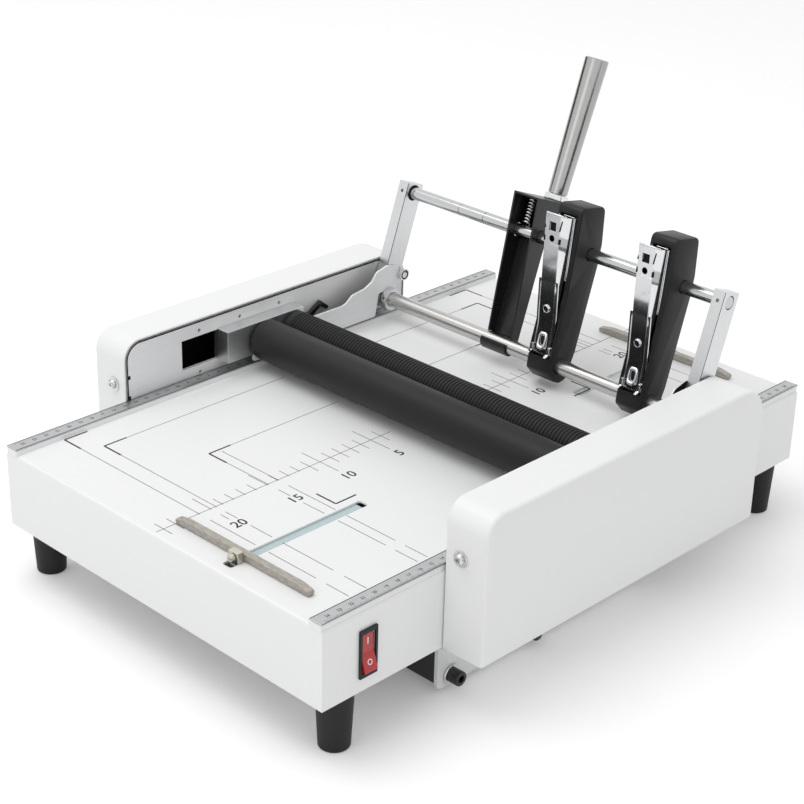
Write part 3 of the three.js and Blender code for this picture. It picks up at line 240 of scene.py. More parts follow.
# %% The finishes of this machine
along_x, along_y, along_z = (0.03, 1, 1), (1, 0.03, 1), (1, 1, 0.03)
white_paint = finish("white_powder_coat", [(0.85, 0.855, 0.86), (0.88, 0.885, 0.885)], (0.38, 0.46), 900,
                     depth=0.012, contrast=1.5, dust=0.01, Specular_IOR_Level=0.45)
foot_rubber = finish("moulded_foot_rubber", [(0.015, 0.015, 0.0165), (0.022, 0.022, 0.024)], (0.5, 0.62), 600,
                     depth=0.03, dust=0.015, Specular_IOR_Level=0.25)
roller_rubber = finish("ground_roller_rubber", [(0.011, 0.011, 0.012), (0.016, 0.016, 0.017)], (0.42, 0.52),
                       1200, stretch=(1, 0.1, 0.1), depth=0.01, Specular_IOR_Level=0.24)
satin_plate = finish("satin_plate_steel", [(0.66, 0.67, 0.67), (0.73, 0.74, 0.74)], (0.32, 0.42), 900,
                     stretch=along_y, depth=0.004, edge=((0.85, 0.86, 0.86), 2.0), Metallic=1.0)
side_plate = finish("pale_side_plate", [(0.80, 0.805, 0.81), (0.85, 0.855, 0.86)], (0.42, 0.5), 900,
                    stretch=along_y, depth=0.003, edge=((0.92, 0.93, 0.93), 1.5), Metallic=0.2)
ground_steel = finish("ground_shaft_steel", [(0.52, 0.515, 0.50), (0.57, 0.565, 0.55)], (0.24, 0.32), 600,
                      stretch=along_x, contrast=1.0, depth=0.002, Metallic=1.0)
ruler_steel = finish("ruler_steel", [(0.48, 0.485, 0.49), (0.55, 0.555, 0.56)], (0.32, 0.45), 1500,
                     stretch=along_y, depth=0.004, edge=((0.75, 0.76, 0.76), 1.5), Metallic=1.0)
black_paint = finish("black_enamel", [(0.008, 0.008, 0.009), (0.013, 0.013, 0.014)], (0.25, 0.36), 500,
                     depth=0.01, edge=((0.05, 0.05, 0.052), 1.0), dust=0.015)
dark_steel = finish("dark_cast_housing", [(0.045, 0.045, 0.05), (0.07, 0.07, 0.075)], (0.4, 0.6), 700,
                    depth=0.03, Metallic=0.6)
chrome = finish("bright_chrome", [(0.74, 0.75, 0.76), (0.80, 0.81, 0.82)], (0.05, 0.11), 300,
                depth=0.003, Metallic=1.0)
shaft_chrome = finish("chromed_shaft", [(0.54, 0.55, 0.555), (0.60, 0.61, 0.615)], (0.14, 0.2), 600,
                      stretch=along_x, contrast=1.0, depth=0.002, Metallic=1.0)
tube_steel = finish("polished_handle_tube", [(0.40, 0.40, 0.395), (0.47, 0.47, 0.465)], (0.16, 0.24), 500,
                    stretch=along_z, contrast=1.2, depth=0.002, Metallic=1.0)
aluminium = finish("brushed_aluminium", [(0.66, 0.67, 0.675), (0.74, 0.75, 0.755)], (0.28, 0.4), 1200,
                   stretch=along_z, depth=0.004, edge=((0.85, 0.86, 0.87), 1.5), Metallic=1.0)
black_plastic = finish("moulded_black_plastic", [(0.012, 0.012, 0.0125), (0.016, 0.016, 0.0165)],
                       (0.34, 0.44), 1400, depth=0.012, edge=((0.04, 0.04, 0.041), 0.8), dust=0.004,
                       Specular_IOR_Level=0.26)
stop_steel = finish("sand-blasted_stop_steel", [(0.31, 0.285, 0.25), (0.52, 0.495, 0.45)], (0.45, 0.7), 700,
                    stretch=(0.35, 1, 1), contrast=2.6, depth=0.05, edge=((0.58, 0.55, 0.50), 1.2),
                    Metallic=0.5)
zinc = finish("zinc_plating", [(0.55, 0.53, 0.46), (0.68, 0.66, 0.58)], (0.25, 0.4), 500,
              depth=0.008, edge=((0.8, 0.78, 0.7), 1.5), Metallic=1.0)
red_plastic = finish("lamp-red_plastic", [(0.42, 0.003, 0.005), (0.52, 0.006, 0.007)], (0.12, 0.2), 200,
                     depth=0.004, edge=((0.75, 0.05, 0.04), 1.0), Coat_Weight=0.4, Coat_Roughness=0.08,
                     Subsurface_Weight=0.15)
black_ink = finish("printed_black", [(0.012, 0.012, 0.013), (0.022, 0.022, 0.024)], (0.5, 0.6), 800,
                   Specular_IOR_Level=0.2)
# Painted shade: a near-black matt finish for the shade in gaps, recesses, holes and inside the covers
painted_shade = finish("painted_shade_dark", [(0.010, 0.010, 0.011), (0.016, 0.016, 0.017)], (0.7, 0.8), 500,
                    Specular_IOR_Level=0.1)
white_ink = finish("printed_white", [(0.80, 0.80, 0.78), (0.86, 0.86, 0.84)], (0.4, 0.5), 800)
front_strip = finish("pale_slot_strip", [(0.46, 0.56, 0.575), (0.50, 0.60, 0.615)], (0.3, 0.4), 300,
                     depth=0.01)
rear_strip = finish("clear_slot_strip", [(0.70, 0.73, 0.74), (0.75, 0.78, 0.79)], (0.3, 0.4), 300, depth=0.01)
screw_steel = finish("plated_screw_steel", [(0.60, 0.60, 0.58), (0.72, 0.72, 0.70)], (0.18, 0.3), 900,
                     depth=0.004, edge=((0.85, 0.85, 0.84), 2.0), Metallic=1.0)
print(len(bpy.data.materials), "finishes")

# %% [markdown]
# The record names one material slot for each piece. This table gives each slot the finish made for
# it, and the CAD pieces that stay on show take theirs from it at once.

# %% Finishes by slot
finish_of = {
    "white_paint": white_paint,
    "rubber_foot": foot_rubber,
    "roller_rubber": roller_rubber,
    "satin_steel": satin_plate,
    "ruler_steel": ruler_steel,
    "black_paint": black_paint,
    "dark_steel": dark_steel,
    "chrome": chrome,
    "aluminium": aluminium,
    "black_plastic": black_plastic,
    "stop_steel": stop_steel,
    "zinc": zinc,
    "red_plastic": red_plastic,
}
plate_nodes = ("side_plate_left", "side_plate_right", "yoke_plate_left", "yoke_plate_right")
for node, obj in frame["nodes"].items():
    obj.data.materials.clear()
    obj.data.materials.append(finish_of[slot_of[node]])
print(len(finish_of), "slots dress", len(frame["nodes"]), "nodes")

# %% [markdown]
# ## Making meshes
# New pieces are surfaces computed with numpy as whole arrays. A grid of points becomes a skin when
# each point is joined to its neighbours, and the grid may close on itself in both directions, as a
# tube or a ring does. Points that coincide, such as the pole of a turned piece, are merged, and the
# normals are made to face outwards.

# %% Mesh helpers
CREASE = 38.0


def show(name, points, faces, material, body, stands_for=(), crease=CREASE):
    """One finished piece from points in metres and faces, closed, shaded and riding on its body."""
    mesh = bpy.data.meshes.new(name)
    mesh.from_pydata(np.asarray(points).reshape(-1, 3).tolist(), [], faces)
    skin = bmesh.new()
    skin.from_mesh(mesh)
    bmesh.ops.remove_doubles(skin, verts=skin.verts, dist=1e-7)
    bmesh.ops.recalc_face_normals(skin, faces=skin.faces)
    skin.to_mesh(mesh)
    skin.free()
    return settle(name, mesh, material, body, stands_for, crease)


def settle(name, mesh, material, body, stands_for=(), crease=CREASE):
    """Shades a mesh, gives it its finish, and lets it ride on its body."""
    mesh.shade_smooth()
    mesh.set_sharp_from_angle(angle=math.radians(crease))
    mesh.materials.clear()
    mesh.materials.append(material)
    obj = in_scene(name, mesh)
    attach(obj, body)
    if stands_for:
        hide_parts(*stands_for)
    return obj


def skin_of(points, wrap_rows=False, wrap_columns=True):
    """Quads that join each point of a (rows, columns, 3) grid to its neighbours."""
    rows, columns = points.shape[:2]
    index = np.arange(rows * columns).reshape(rows, columns)
    if wrap_rows:
        index = np.vstack([index, index[:1]])
    if wrap_columns:
        index = np.hstack([index, index[:, :1]])
    quads = np.stack([index[:-1, :-1], index[1:, :-1], index[1:, 1:], index[:-1, 1:]], axis=-1)
    return quads.reshape(-1, 4).tolist()


def unit(vector):
    """The same direction with a length of one."""
    return np.asarray(vector, float) / np.linalg.norm(vector)

# %% [markdown]
# Turned pieces are a profile spun about an axis: each point is the centre, plus its place along the
# axis, plus its radius times a spoke that goes round. Where the radius may change with the angle
# too, the same formula makes a hexagon socket or the cross of a screw.

# %% Turned pieces
def spun(profile, centre, axis, around=96, shape=None):
    """Point (i, j) = centre + place_i * axis + radius_ij * spoke_j, in millimetres. shape maps the
    profile's rows to functions that give the radius from the angle."""
    radius, along = np.asarray(profile, float).T
    axis = unit(axis)
    side = unit(np.cross(axis, (0.31, 0.17, 0.93) if abs(axis[2]) < 0.9 else (1.0, 0.0, 0.0)))
    angle = np.linspace(0.0, 2 * np.pi, around, endpoint=False)
    spoke = np.cos(angle)[:, None] * side + np.sin(angle)[:, None] * np.cross(axis, side)
    reach = np.repeat(radius[:, None], around, axis=1)
    for row, rule in (shape or {}).items():
        reach[row] = rule(angle) * radius[row]
    return np.asarray(centre) + along[:, None, None] * axis + reach[..., None] * spoke


def hexagon(angle):
    """Radius of a hexagon whose flats lie at 1."""
    return 1.0 / np.cos((angle + np.pi / 6) % (np.pi / 3) - np.pi / 6)


def cross(angle):
    """Radius of a plus sign whose arms end at 1 and are 0.36 wide."""
    c, s = np.abs(np.cos(angle)) + 1e-9, np.abs(np.sin(angle)) + 1e-9
    return np.maximum(np.minimum(1.0 / c, 0.18 / s), np.minimum(0.18 / c, 1.0 / s))


def arc(centre, radius, start, end, steps=6):
    """Points of a profile's rounded corner, with angles in degrees."""
    t = np.radians(np.linspace(start, end, steps))
    return [(centre[0] + radius * a, centre[1] + radius * b) for a, b in zip(np.cos(t), np.sin(t))]


def turned(name, profile, centre, axis, material, body, stands_for=(), around=96, shape=None,
           ring=False, crease=CREASE):
    """A spun profile. A ring's profile closes on itself, and any other ends on the axis."""
    points = spun(profile, centre, axis, around, shape)
    return show(name, points * MM, skin_of(points, wrap_rows=ring), material, body, stands_for, crease)

# %% [markdown]
# Many pieces have the right shape already and only need their sharp edges broken. For these the CAD
# mesh is copied, its loose triangles are merged into one skin, flat faces are joined, and a Bevel
# modifier rounds each edge that turns by more than 31 degrees. Light then catches the edges.

# %% Softened copies of CAD pieces
def rounded(piece, width):
    """Rounds the sharp edges of a piece by a width in millimetres."""
    bevel = piece.modifiers.new("edges", "BEVEL")
    bevel.width, bevel.segments = width * MM, 2
    bevel.limit_method, bevel.angle_limit = "ANGLE", math.radians(31)
    return bevel


def softened(node, width):
    """A copy of a CAD piece with rounded edges, standing for it on the same body."""
    mesh = frame["nodes"][node].data.copy()
    skin = bmesh.new()
    skin.from_mesh(mesh)
    bmesh.ops.remove_doubles(skin, verts=skin.verts, dist=2e-6)
    bmesh.ops.dissolve_limit(skin, angle_limit=math.radians(0.6), verts=skin.verts, edges=skin.edges)
    skin.to_mesh(mesh)
    skin.free()
    material = side_plate if node in plate_nodes else finish_of[slot_of[node]]
    piece = settle(node + "_soft", mesh, material, body_of[node], (node,))
    rounded(piece, width).harden_normals = True


for names, ends in (
    ({"table_deck": 0.5, "drive_box": 0.3, "switch_bezel": 0.5, "switch_rocker": 0.6, "latch_hook": 0.5,
      "handle_channel": 0.3, "handle_nut": 0.5, "anvil_bar": 0.2, "power_inlet": 0.5, "motor": 1.0,
      "gearbox": 0.8}, ("",)),
    ({"cover": 0.4, "side_plate": 0.3, "ruler": 0.12, "roller_bracket": 0.4, "yoke_plate": 0.25,
      "frame_arm": 0.6, "crank_bolt": 0.5, "shaft_collar": 0.5, "stapler_housing": 0.5, "stapler_lever": 0.6,
      "stapler_magazine": 0.3}, ("_left", "_right")),
    ({"stop_bar": 0.7, "clamp_block": 0.35, "clamp_screw": 0.2}, ("_front", "_rear")),
):
    for name, width in names.items():
        for end in ends:
            softened(name + end, width)

# %% [markdown]
# The insides of the covers get painted shade, and so does the side of each yoke plate that faces its
# cover. A second, near-black material on the same mesh paints it: a face of a cover takes the
# painted shade when it looks towards the middle of the cover.

# %% Painted shade inside the covers and on the yoke plates
# The two hands of the machine, and which way each lies on X
HANDS = (("left", -1), ("right", 1))
for hand, s in HANDS:
    cover, yoke = (bpy.data.objects[f"{name}_{hand}_soft"].data for name in ("cover", "yoke_plate"))
    cover.materials.append(painted_shade)
    low, high = (np.asarray(corner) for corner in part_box(f"cover_{hand}"))
    # Faces inside a cover, and each yoke plate's face towards its cover, take the painted shade
    for face in cover.polygons:
        inwards = ((low + high) / 2 - np.asarray(face.center)).dot(np.asarray(face.normal)) > 0
        at_rim = min(abs(face.center.x - low[0]), abs(face.center.x - high[0])) < 0.3 * MM
        face.material_index = int(inwards and not at_rim)
    yoke.materials.append(painted_shade)
    for face in yoke.polygons:
        face.material_index = int(face.normal.x * s > 0.9)
print("lined 2 covers and 2 yoke plates")

# %% [markdown]
# ## The feet
# Each foot is a tapered rubber post with a rounded rim at the bottom. It stands for the CAD foot and
# has the same size, only smooth.

# %% Feet
def middle_of(node):
    """Centre of a CAD piece's box, in millimetres."""
    low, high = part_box(node)
    return (np.asarray(low) + np.asarray(high)) / 2 / MM


def span_of(node, axis):
    """Lowest and highest place of a CAD piece on one axis, in millimetres."""
    low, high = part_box(node)
    return low[axis] / MM, high[axis] / MM


def half_of(node, axis):
    """Half of a CAD piece's extent on one axis, in millimetres."""
    low, high = span_of(node, axis)
    return (high - low) / 2


tread, tread_round, top_edge = 9.1, 1.6, 0.5
for end in ("front", "rear"):
    for hand in ("left", "right"):
        node = f"foot_{end}_{hand}"
        x, y, _ = middle_of(node)
        top, wide = span_of(node, 2)[1], half_of(node, 0)
        profile = [(0, 0), (tread, 0), *arc((tread, tread_round), tread_round, -80, 0),
                   (wide, top - top_edge), (wide - top_edge, top), (0, top)]
        turned(node + "_round", profile, (x, y, 0), (0, 0, 1), foot_rubber, "base", (node,))
print("feet", round(top, 1), "mm high")

# %% [markdown]
# ## The rollers
# The front roller is a plain rubber sleeve. The rear one has a ring every three millimetres, which
# grips the paper: its profile goes down into a narrow groove and up again once for each ring. The
# groove pattern is made once and repeated by adding an array of offsets.

# %% Rollers
bore, rounding, pitch, groove, plain_end = 5.3, 1.6, 3.0, 0.7, 4.0


def sleeve_profile(radius, half):
    """The sleeve's section from its bore over the rounded ends, as (radius, place)."""
    inner, shoulder = radius - rounding, half - rounding
    return [(bore, -half), *arc((inner, -shoulder), rounding, -90, 0),
            *arc((inner, shoulder), rounding, 0, 90), (bore, half)]


for node, name in (("front_roller", "front_sleeve"), ("rear_roller", "rear_sleeve")):
    _, y, z = middle_of(node)
    half, radius = half_of(node, 0), half_of(node, 2)
    profile = sleeve_profile(radius, half)
    if node == "rear_roller":
        count = int((2 * half - 2 * plain_end) / pitch)
        ring = np.array([(radius, -0.5), (radius, 0.5), (radius - 0.25, 0.75), (radius - groove, 0.9),
                         (radius - groove, 1.9), (radius - 0.25, 2.05)])
        places = (np.arange(count) - (count - 1) / 2) * pitch
        rings = (ring + np.stack([0 * places, places], axis=-1)[:, None, :]).reshape(-1, 2)
        middle = len(profile) // 2
        profile = [*profile[:middle], *map(tuple, rings), *profile[middle:]]
    turned(name, profile, (0, y, z), (1, 0, 0), roller_rubber, body_of[node], (node,),
           around=128, ring=True, crease=30)
print("rear sleeve with", count, "rings")

# %% [markdown]
# The roller shafts and the two long shafts of the stapling frame are plain turned bars with a small
# chamfer at each end. The upper shaft has two thin grooves that mark where the heads can be set.

# %% Shafts
chamfer = 0.8


def bar_profile(radius, low, high, grooves):
    """A round bar from end to end, with chamfers and thin grooves, as (radius, place)."""
    points = [(0, low), (radius - chamfer, low), (radius, low + chamfer)]
    for groove in grooves:
        points += [(radius, groove - 0.7), (radius - 0.5, groove - 0.45), (radius - 0.5, groove + 0.45),
                   (radius, groove + 0.7)]
    return points + [(radius, high - chamfer), (radius - chamfer, high), (0, high)]


for node, material, grooves in (
    ("front_roller_shaft", satin_plate, ()), ("rear_roller_shaft", satin_plate, ()),
    ("lower_shaft", ground_steel, ()), ("upper_shaft", shaft_chrome, (-97.5, -71.5)),
):
    (_, y, z), (low, high) = middle_of(node), span_of(node, 0)
    turned(node + "_round", bar_profile(half_of(node, 2), low, high, grooves), (0, y, z), (1, 0, 0), material,
           body_of[node], (node,))
    print(node, round(high - low, 1), "mm long")

# %% [markdown]
# ## The handle
# The stapling frame leans back, so its pieces are placed with two directions: `up_arm` along the
# arms and `across` at a right angle to it, both through the lower shaft. The polished tube grows a
# little wider towards its open end. The spring beside it is a helix: the wire's centre goes round
# while it climbs, and the wire's section is a ring of points in the plane of its spoke.

# %% Directions of the stapling frame
lean, tilt = math.radians(19.1), math.radians(1.7)
pivot = np.array([0.0, *middle_of("lower_shaft")[1:]])
x_axis = np.array([1.0, 0.0, 0.0])
up_arm = np.array([0.0, math.sin(lean), math.cos(lean)])
across = np.array([0.0, math.cos(lean), -math.sin(lean)])
up_handle = up_arm * math.cos(tilt) + across * math.sin(tilt)


def on_frame(x, out, along):
    """Places on the stapling frame, for numbers or whole arrays: the pivot, plus x across the machine,
    plus out from the arms, plus along them."""
    x, out, along = np.broadcast_arrays(x, out, along)
    return pivot + x[..., None] * x_axis + out[..., None] * across + along[..., None] * up_arm


print("arms lean back", round(math.degrees(lean), 1), "degrees about", np.round(pivot, 1).tolist())

# %% Handle tube
channel_left, channel_right = span_of("handle_channel", 0)
# The channel's top is square to the tube, so under the tube it lies lower than at its corner
corner_along, corner_to_tube, tube_out = 117.5, 37.3, 22.3
seat_along = corner_along - math.tan(tilt) * corner_to_tube
tube_seat = on_frame((channel_left + channel_right) / 2, tube_out, seat_along)
tube = [(0, -7.5), (5, -7.5), (5, 5.1), (7.2, 5.1), (7.7, 5.7), (9.4, 111.2), (9.3, 111.8), (8.6, 112.4),
        (7.9, 112.4), (7.4, 111.8), (6.8, 104.6), (0, 104.6)]
turned("handle_tube_round", tube, tube_seat, up_handle, tube_steel, "stapling_frame",
       ("handle_tube",))
print("tube", tube[7][1] - tube[2][1], "mm long")

# %% Handle spring
turns, wire, coil, around_wire = 8, 0.6, 3.1, 10
wall_to_spring, low, high = 8, 94.3, 114.0
# Point (i, j) = centre_i + wire * (cos_j * spoke_i + sin_j * up_arm), where the centre climbs a helix
t = np.linspace(0, 2 * np.pi * turns, turns * 28 + 1)
spoke = np.cos(t)[:, None] * x_axis + np.sin(t)[:, None] * across
centre = (on_frame(channel_left + wall_to_spring, 0, 0) + coil * spoke
          + (low + (high - low) * t / t[-1])[:, None] * up_arm)
section = np.linspace(0, 2 * np.pi, around_wire, endpoint=False)
wire_points = (centre[:, None, :] + wire * np.cos(section)[None, :, None] * spoke[:, None, :]
               + wire * np.sin(section)[None, :, None] * up_arm)
ends = [list(range(around_wire)), list(range(len(t) * around_wire - around_wire, len(t) * around_wire))]
show("handle_spring_round", wire_points * MM, skin_of(wire_points) + ends, chrome, "stapling_frame",
     ("handle_spring",), crease=80)
print("spring with", turns, "turns")

# %% [markdown]
# ## Screws and bolts
# Small fasteners make a machine believable. Each head is one turned profile: up the side, over the
# rounded top, and down into the recess, where the radius follows a hexagon or a cross. A bolt's y
# and z come from the model, and the other places are measured.

# %% Bolts and buffers on the skirts
skirt_face, buffer_y, buffer_z = 157.3, -48, 9.0
radius, length, flat = 5.3, 8.0, 2.5
cap_head = [(0, 0), (radius - 0.3, 0), (radius, 0.3), (radius, length - 0.9), (radius - 0.25, length - 0.25),
            (radius - 0.9, length), (flat + 0.35, length), (flat, length - 0.35), (flat, length - 4.0),
            (0, length - 4.4)]
washer = [(3.2, 0), (7.0, 0), (7.4, 0.4), (7.4, 1.2), (7.0, 1.6), (3.2, 1.6)]
buffer = [(0, 0), (4.6, 0), *arc((1.6, 4.5), 3.0, 0, 90, 5), (0, 7.5)]
for hand, s in HANDS:
    _, y, z = middle_of(f"skirt_bolt_{hand}")
    turned(f"skirt_washer_{hand}", washer, (s * (skirt_face + 0.3), y, z), (s, 0, 0), screw_steel, "base",
           ring=True, around=72)
    turned(f"skirt_bolt_head_{hand}", cap_head, (s * (skirt_face + 1.9), y, z), (s, 0, 0), black_paint,
           "base", (f"skirt_bolt_{hand}",), around=72, shape=dict.fromkeys((6, 7, 8), hexagon))
    turned(f"skirt_buffer_{hand}", buffer, (s * (skirt_face + 0.2), buffer_y, buffer_z), (s, 0, 0),
           black_paint, "base", around=48)
print("skirt bolts at y", round(y, 1), "and z", round(z, 1))

# %% Screws that hold the covers
screw_x, screw_z = 175.8, 113.0
washer = [(1.5, 0.1), (5.6, 0.1), (5.8, 0.3), (5.8, 0.8), (5.5, 1.0), (1.5, 1.0)]
cross_head = [(0, 0.9), (3.6, 0.9), (3.9, 1.2), (3.8, 2.4), (3.2, 3.3), (2.3, 3.8), (1.75, 3.7), (1.3, 2.4),
              (0, 2.3)]
for hand, s in HANDS:
    for end, y, out in zip(("front", "rear"), span_of("cover_right", 1), (-1, 1)):
        spot = (s * screw_x, y, screw_z)
        turned(f"cover_washer_{end}_{hand}", washer, spot, (0, out, 0), screw_steel, "base", ring=True,
               around=72)
        turned(f"cover_screw_{end}_{hand}", cross_head, spot, (0, out, 0), screw_steel, "base", around=72,
               shape=dict.fromkeys((6, 7), cross))
print("4 cover screws at z", screw_z)

# %% [markdown]
# ## Printed marks
# The table shows two halves of a centimetre scale, corner marks for standard sheets and thin lines
# that carry their sizes across. Print has almost no thickness, but a piece in a library needs real
# faces, so each line is a slab two hundredths of a millimetre proud. All the slabs of one colour
# are one mesh: the eight corners of each come from one array sum.

# %% Line and numeral helpers
CORNERS = np.array([[i, j, k] for i in (0, 1) for j in (0, 1) for k in (0, 1)], float)
SIDES = np.array([[0, 1, 3, 2], [4, 6, 7, 5], [0, 4, 5, 1], [2, 3, 7, 6], [0, 2, 6, 4], [1, 5, 7, 3]])


def slabs(lows, highs):
    """Points and faces of many boxes: corner = low + (high - low) * (0 or 1 on each axis)."""
    lows, highs = np.asarray(lows, float), np.asarray(highs, float)
    points = lows[:, None, :] + (highs - lows)[:, None, :] * CORNERS[None]
    faces = SIDES[None] + 8 * np.arange(len(lows))[:, None, None]
    return points.reshape(-1, 3), faces.reshape(-1, 4).tolist()


def ink(name, lines, z, proud=0.02):
    """Straight printed lines (x0, y0, x1, y1, width) parallel to an axis, on a level face at z."""
    starts, stops, width = np.split(np.asarray(lines, float), (2, 4), axis=1)
    thick, level = np.where(starts == stops, width / 2, 0), np.full(len(width), z)
    points, faces = slabs(np.column_stack([np.minimum(starts, stops) - thick, level - proud]),
                          np.column_stack([np.maximum(starts, stops) + thick, level + proud]))
    show(name, points * MM, faces, black_ink, "base")


def numerals(name, entries, size, z, proud=0.02):
    """Plain numbers (text, x, y) that read along +Y, made from Blender's own font as thin solids."""
    skin = bmesh.new()
    bolder = size * 0.014
    for text, x, y in entries:
        letters = bpy.data.curves.new(name, "FONT")
        letters.body, letters.size, letters.extrude = text, size * MM, proud * MM
        letters.offset = bolder * MM
        letters.align_x, letters.align_y, letters.resolution_u = "CENTER", "CENTER", 3
        holder = in_scene(name, letters)
        flat = bpy.data.meshes.new_from_object(holder.evaluated_get(bpy.context.evaluated_depsgraph_get()))
        flat.transform(Matrix.Translation((x * MM, y * MM, z * MM)) @ Matrix.Rotation(math.pi / 2, 4, "Z"))
        skin.from_mesh(flat)
        bpy.data.objects.remove(holder)
        bpy.data.curves.remove(letters)
        bpy.data.meshes.remove(flat)
    bmesh.ops.remove_doubles(skin, verts=skin.verts, dist=1e-7)
    mesh = bpy.data.meshes.new(name)
    skin.to_mesh(mesh)
    skin.free()
    settle(name, mesh, black_ink, "base", crease=30)

# %% The table's chart
# The anvil bar lies level with the table. All other places are read off the scales, in millimetres.
TABLE = span_of("anvil_bar", 2)[1]
fine, bold = 0.5, 1.45
short_tick, long_tick, mark, arm = 9.4, 19, 20, 19
sheet_corners = ((-148.3, 210), (-121.5, 195.3), (-62.2, 148.7))
sheet_edges = ((-121.5, 175), (-62.2, 129))
# The broken lines on the right of the chart: how far out, and the spans that are drawn
size_lines = (
    (210, ((11.5, 56.3), (69, 113.7), (123, 143))),
    (195.4, ((10, 22), (35.3, 56.3), (66.5, 114), (124, 144))),
    (200.2, ((10.7, 19.4),)),
    (148.9, ((10.9, 22.9), (35.7, 56.5), (69.6, 114), (123, 143))),
    (139.9, ((11, 57.8), (68.5, 114), (123, 143))),
)
chart = []
for side in (-1, 1):
    chart.append((0, side * 30, 0, side * 246, fine))
    for centimetre in range(4, 25):
        if centimetre in (21, 22):
            continue
        y = side * 10 * centimetre
        left = long_tick if centimetre in (5, 10, 15, 20) else short_tick
        right = long_tick if centimetre in (5, 10) else (9 if centimetre < 12 or centimetre > 22 else 1)
        chart.append((-left, y, right, y, fine))
    for x, y in sheet_corners:
        chart.append((x, side * y, x, side * (y - mark), bold))
        chart.append((x, side * y, x + arm, side * y, bold))
        chart.append((x + arm, side * y, 1, side * y, fine))
    for x, y in sheet_edges:
        chart.append((x, side * y, x, side * 24, fine))
    chart.append((-59, side * 139.6, 1, side * 139.6, fine))
    chart.append((32.6, side * 134, 51.9, side * 134, bold))
    chart.append((51.9, side * 134, 51.9, side * 115, bold))
    chart += [(x0, side * y, x1, side * y, fine) for y, spans in size_lines for x0, x1 in spans]
ink("chart_lines", chart, TABLE)
numbers = [(str(n), 28.3, side * n * 10 + 1) for side in (-1, 1) for n in (5, 10, 15, 20)]
numerals("chart_numbers", numbers, 11.5, TABLE)
print(len(chart), "printed lines")

# %% [markdown]
# The rulers carry a line for each millimetre along their outer edge, a longer one for each five and
# ten, and a number at each centimetre, which counts from the fold line to both ends of the table.

# %% The rulers' scales
ruler_top, ruler_end = span_of("ruler_right", 2)[1], span_of("ruler_right", 1)[1] - 0.2
millimetres = np.arange(1, 246)
millimetres = np.concatenate([-millimetres[::-1], millimetres])
length = np.where(millimetres % 10 == 0, 4.2, np.where(millimetres % 5 == 0, 3.2, 2.2))
y = millimetres.astype(float)
for hand, s in HANDS:
    inner, outer = sorted(np.abs(span_of(f"ruler_{hand}", 0)))
    marks = np.stack([0 * y + s * (outer - 0.25), y, s * (outer - length), y, 0 * y + 0.2], axis=-1)
    borders = [(s * (outer - 0.3), -ruler_end, s * (outer - 0.3), ruler_end, 0.5),
               (s * (inner + 0.35), -ruler_end, s * (inner + 0.35), ruler_end, 0.7)]
    ink(f"ruler_marks_{hand}", np.vstack([marks, borders]), ruler_top, proud=0.015)
    numbers = [(str(n), s * (inner + 5.6), side * n * 10) for side in (-1, 1) for n in range(1, 25)]
    numerals(f"ruler_numbers_{hand}", numbers, 3.6, ruler_top, proud=0.015)
print(len(marks), "marks on each ruler")

# %% [markdown]
# ## The rocker switch
# The rocker carries the two usual marks: a bar for on at the top and a ring for off at the foot.
# The rocker is tilted, so the marks are made on its own face: their points are placed with the
# face's normal and its upward direction.

# %% Marks on the rocker
table_side = span_of("table_deck", 0)[1]
rocker_centre = np.array([table_side, middle_of("switch_rocker")[1], middle_of("switch_bezel")[2]])
rocker_tilt, crest, half_height = math.radians(9), 2.6, 13.4
dip = half_height * math.tan(rocker_tilt)


def rocker_face(share):
    """Centre, outward normal and upward direction at a share (-1 foot, 1 top) of the rocker's face."""
    out, height = crest - dip * (1 - abs(share)), half_height * share
    slope = math.copysign(math.atan2(dip, half_height), share)
    c, s = math.cos(rocker_tilt), math.sin(rocker_tilt)
    up = np.array([math.sin(slope) * c - math.cos(slope) * s, 0, math.sin(slope) * s + math.cos(slope) * c])
    spot = rocker_centre + np.array([c * out - s * height, 0, s * out + c * height])
    return spot, np.cross((0, 1, 0), up), up


spot, out, up = rocker_face(0.58)
points, faces = slabs([(-0.45, -2.4, -0.05)], [(0.45, 2.4, 0.06)])
points = spot + points[:, :1] * np.array([0.0, 1.0, 0.0]) + points[:, 1:2] * up + points[:, 2:] * out
show("rocker_on_mark", points * MM, faces, white_ink, "rocker")
spot, out, up = rocker_face(-0.52)
ring = [(1.35, -0.05), (1.35, 0.06), (2.0, 0.06), (2.0, -0.05)]
turned("rocker_off_mark", ring, spot, out, white_ink, "rocker", ring=True, around=48)
print("two marks on the rocker")

# %% [markdown]
# ## Strips in the slots
# A pale plastic strip is fixed to the foot of each paper stop. It slides just under the table sheet
# with the stop and closes the slot, so that no staple falls into the drive.

# %% Slot strips
sheet, strip_half, strip_top, strip_base, near, far = 1.5, 6.5, 0.15, 0.9, 122.6, 230.0
for end, side, material in (("front", -1, front_strip), ("rear", 1, rear_strip)):
    x = middle_of(f"clamp_screw_{end}")[0]
    low_y, high_y = sorted((side * near, side * far))
    points, faces = slabs([(x - strip_half, low_y, TABLE - sheet - strip_base)],
                          [(x + strip_half, high_y, TABLE - sheet - strip_top)])
    show(f"slot_strip_{end}", points * MM, faces, material, f"{end}_stop")
print("slot strips", far - near, "mm long")

# %% [markdown]
# ## Details of the stapler heads
# Each chrome magazine has a long face plate with an eyelet and a stamped loop at its foot, folded
# tabs at its head and a slot in its side. They ride with the magazine, which tilts against its
# housing. Two thin rails beside it belong to the head and stay with the housing.

# %% Prisms on the stapling frame
def prism(name, outline, ends, body, soft, material=chrome, slot="chrome"):
    """An outline of (out, along) places carried from one end to the other, with rounded edges: point
    (i, j) is the frame's place for corner i at end j."""
    outline = np.asarray(outline, float)
    points = on_frame(np.sort(ends), outline[:, :1], outline[:, 1:])
    faces = skin_of(points, wrap_rows=True, wrap_columns=False)
    faces += [list(range(0, 2 * len(outline), 2)), list(range(1, 2 * len(outline), 2))]
    rounded(show(name, points * MM, faces, material, body), soft)


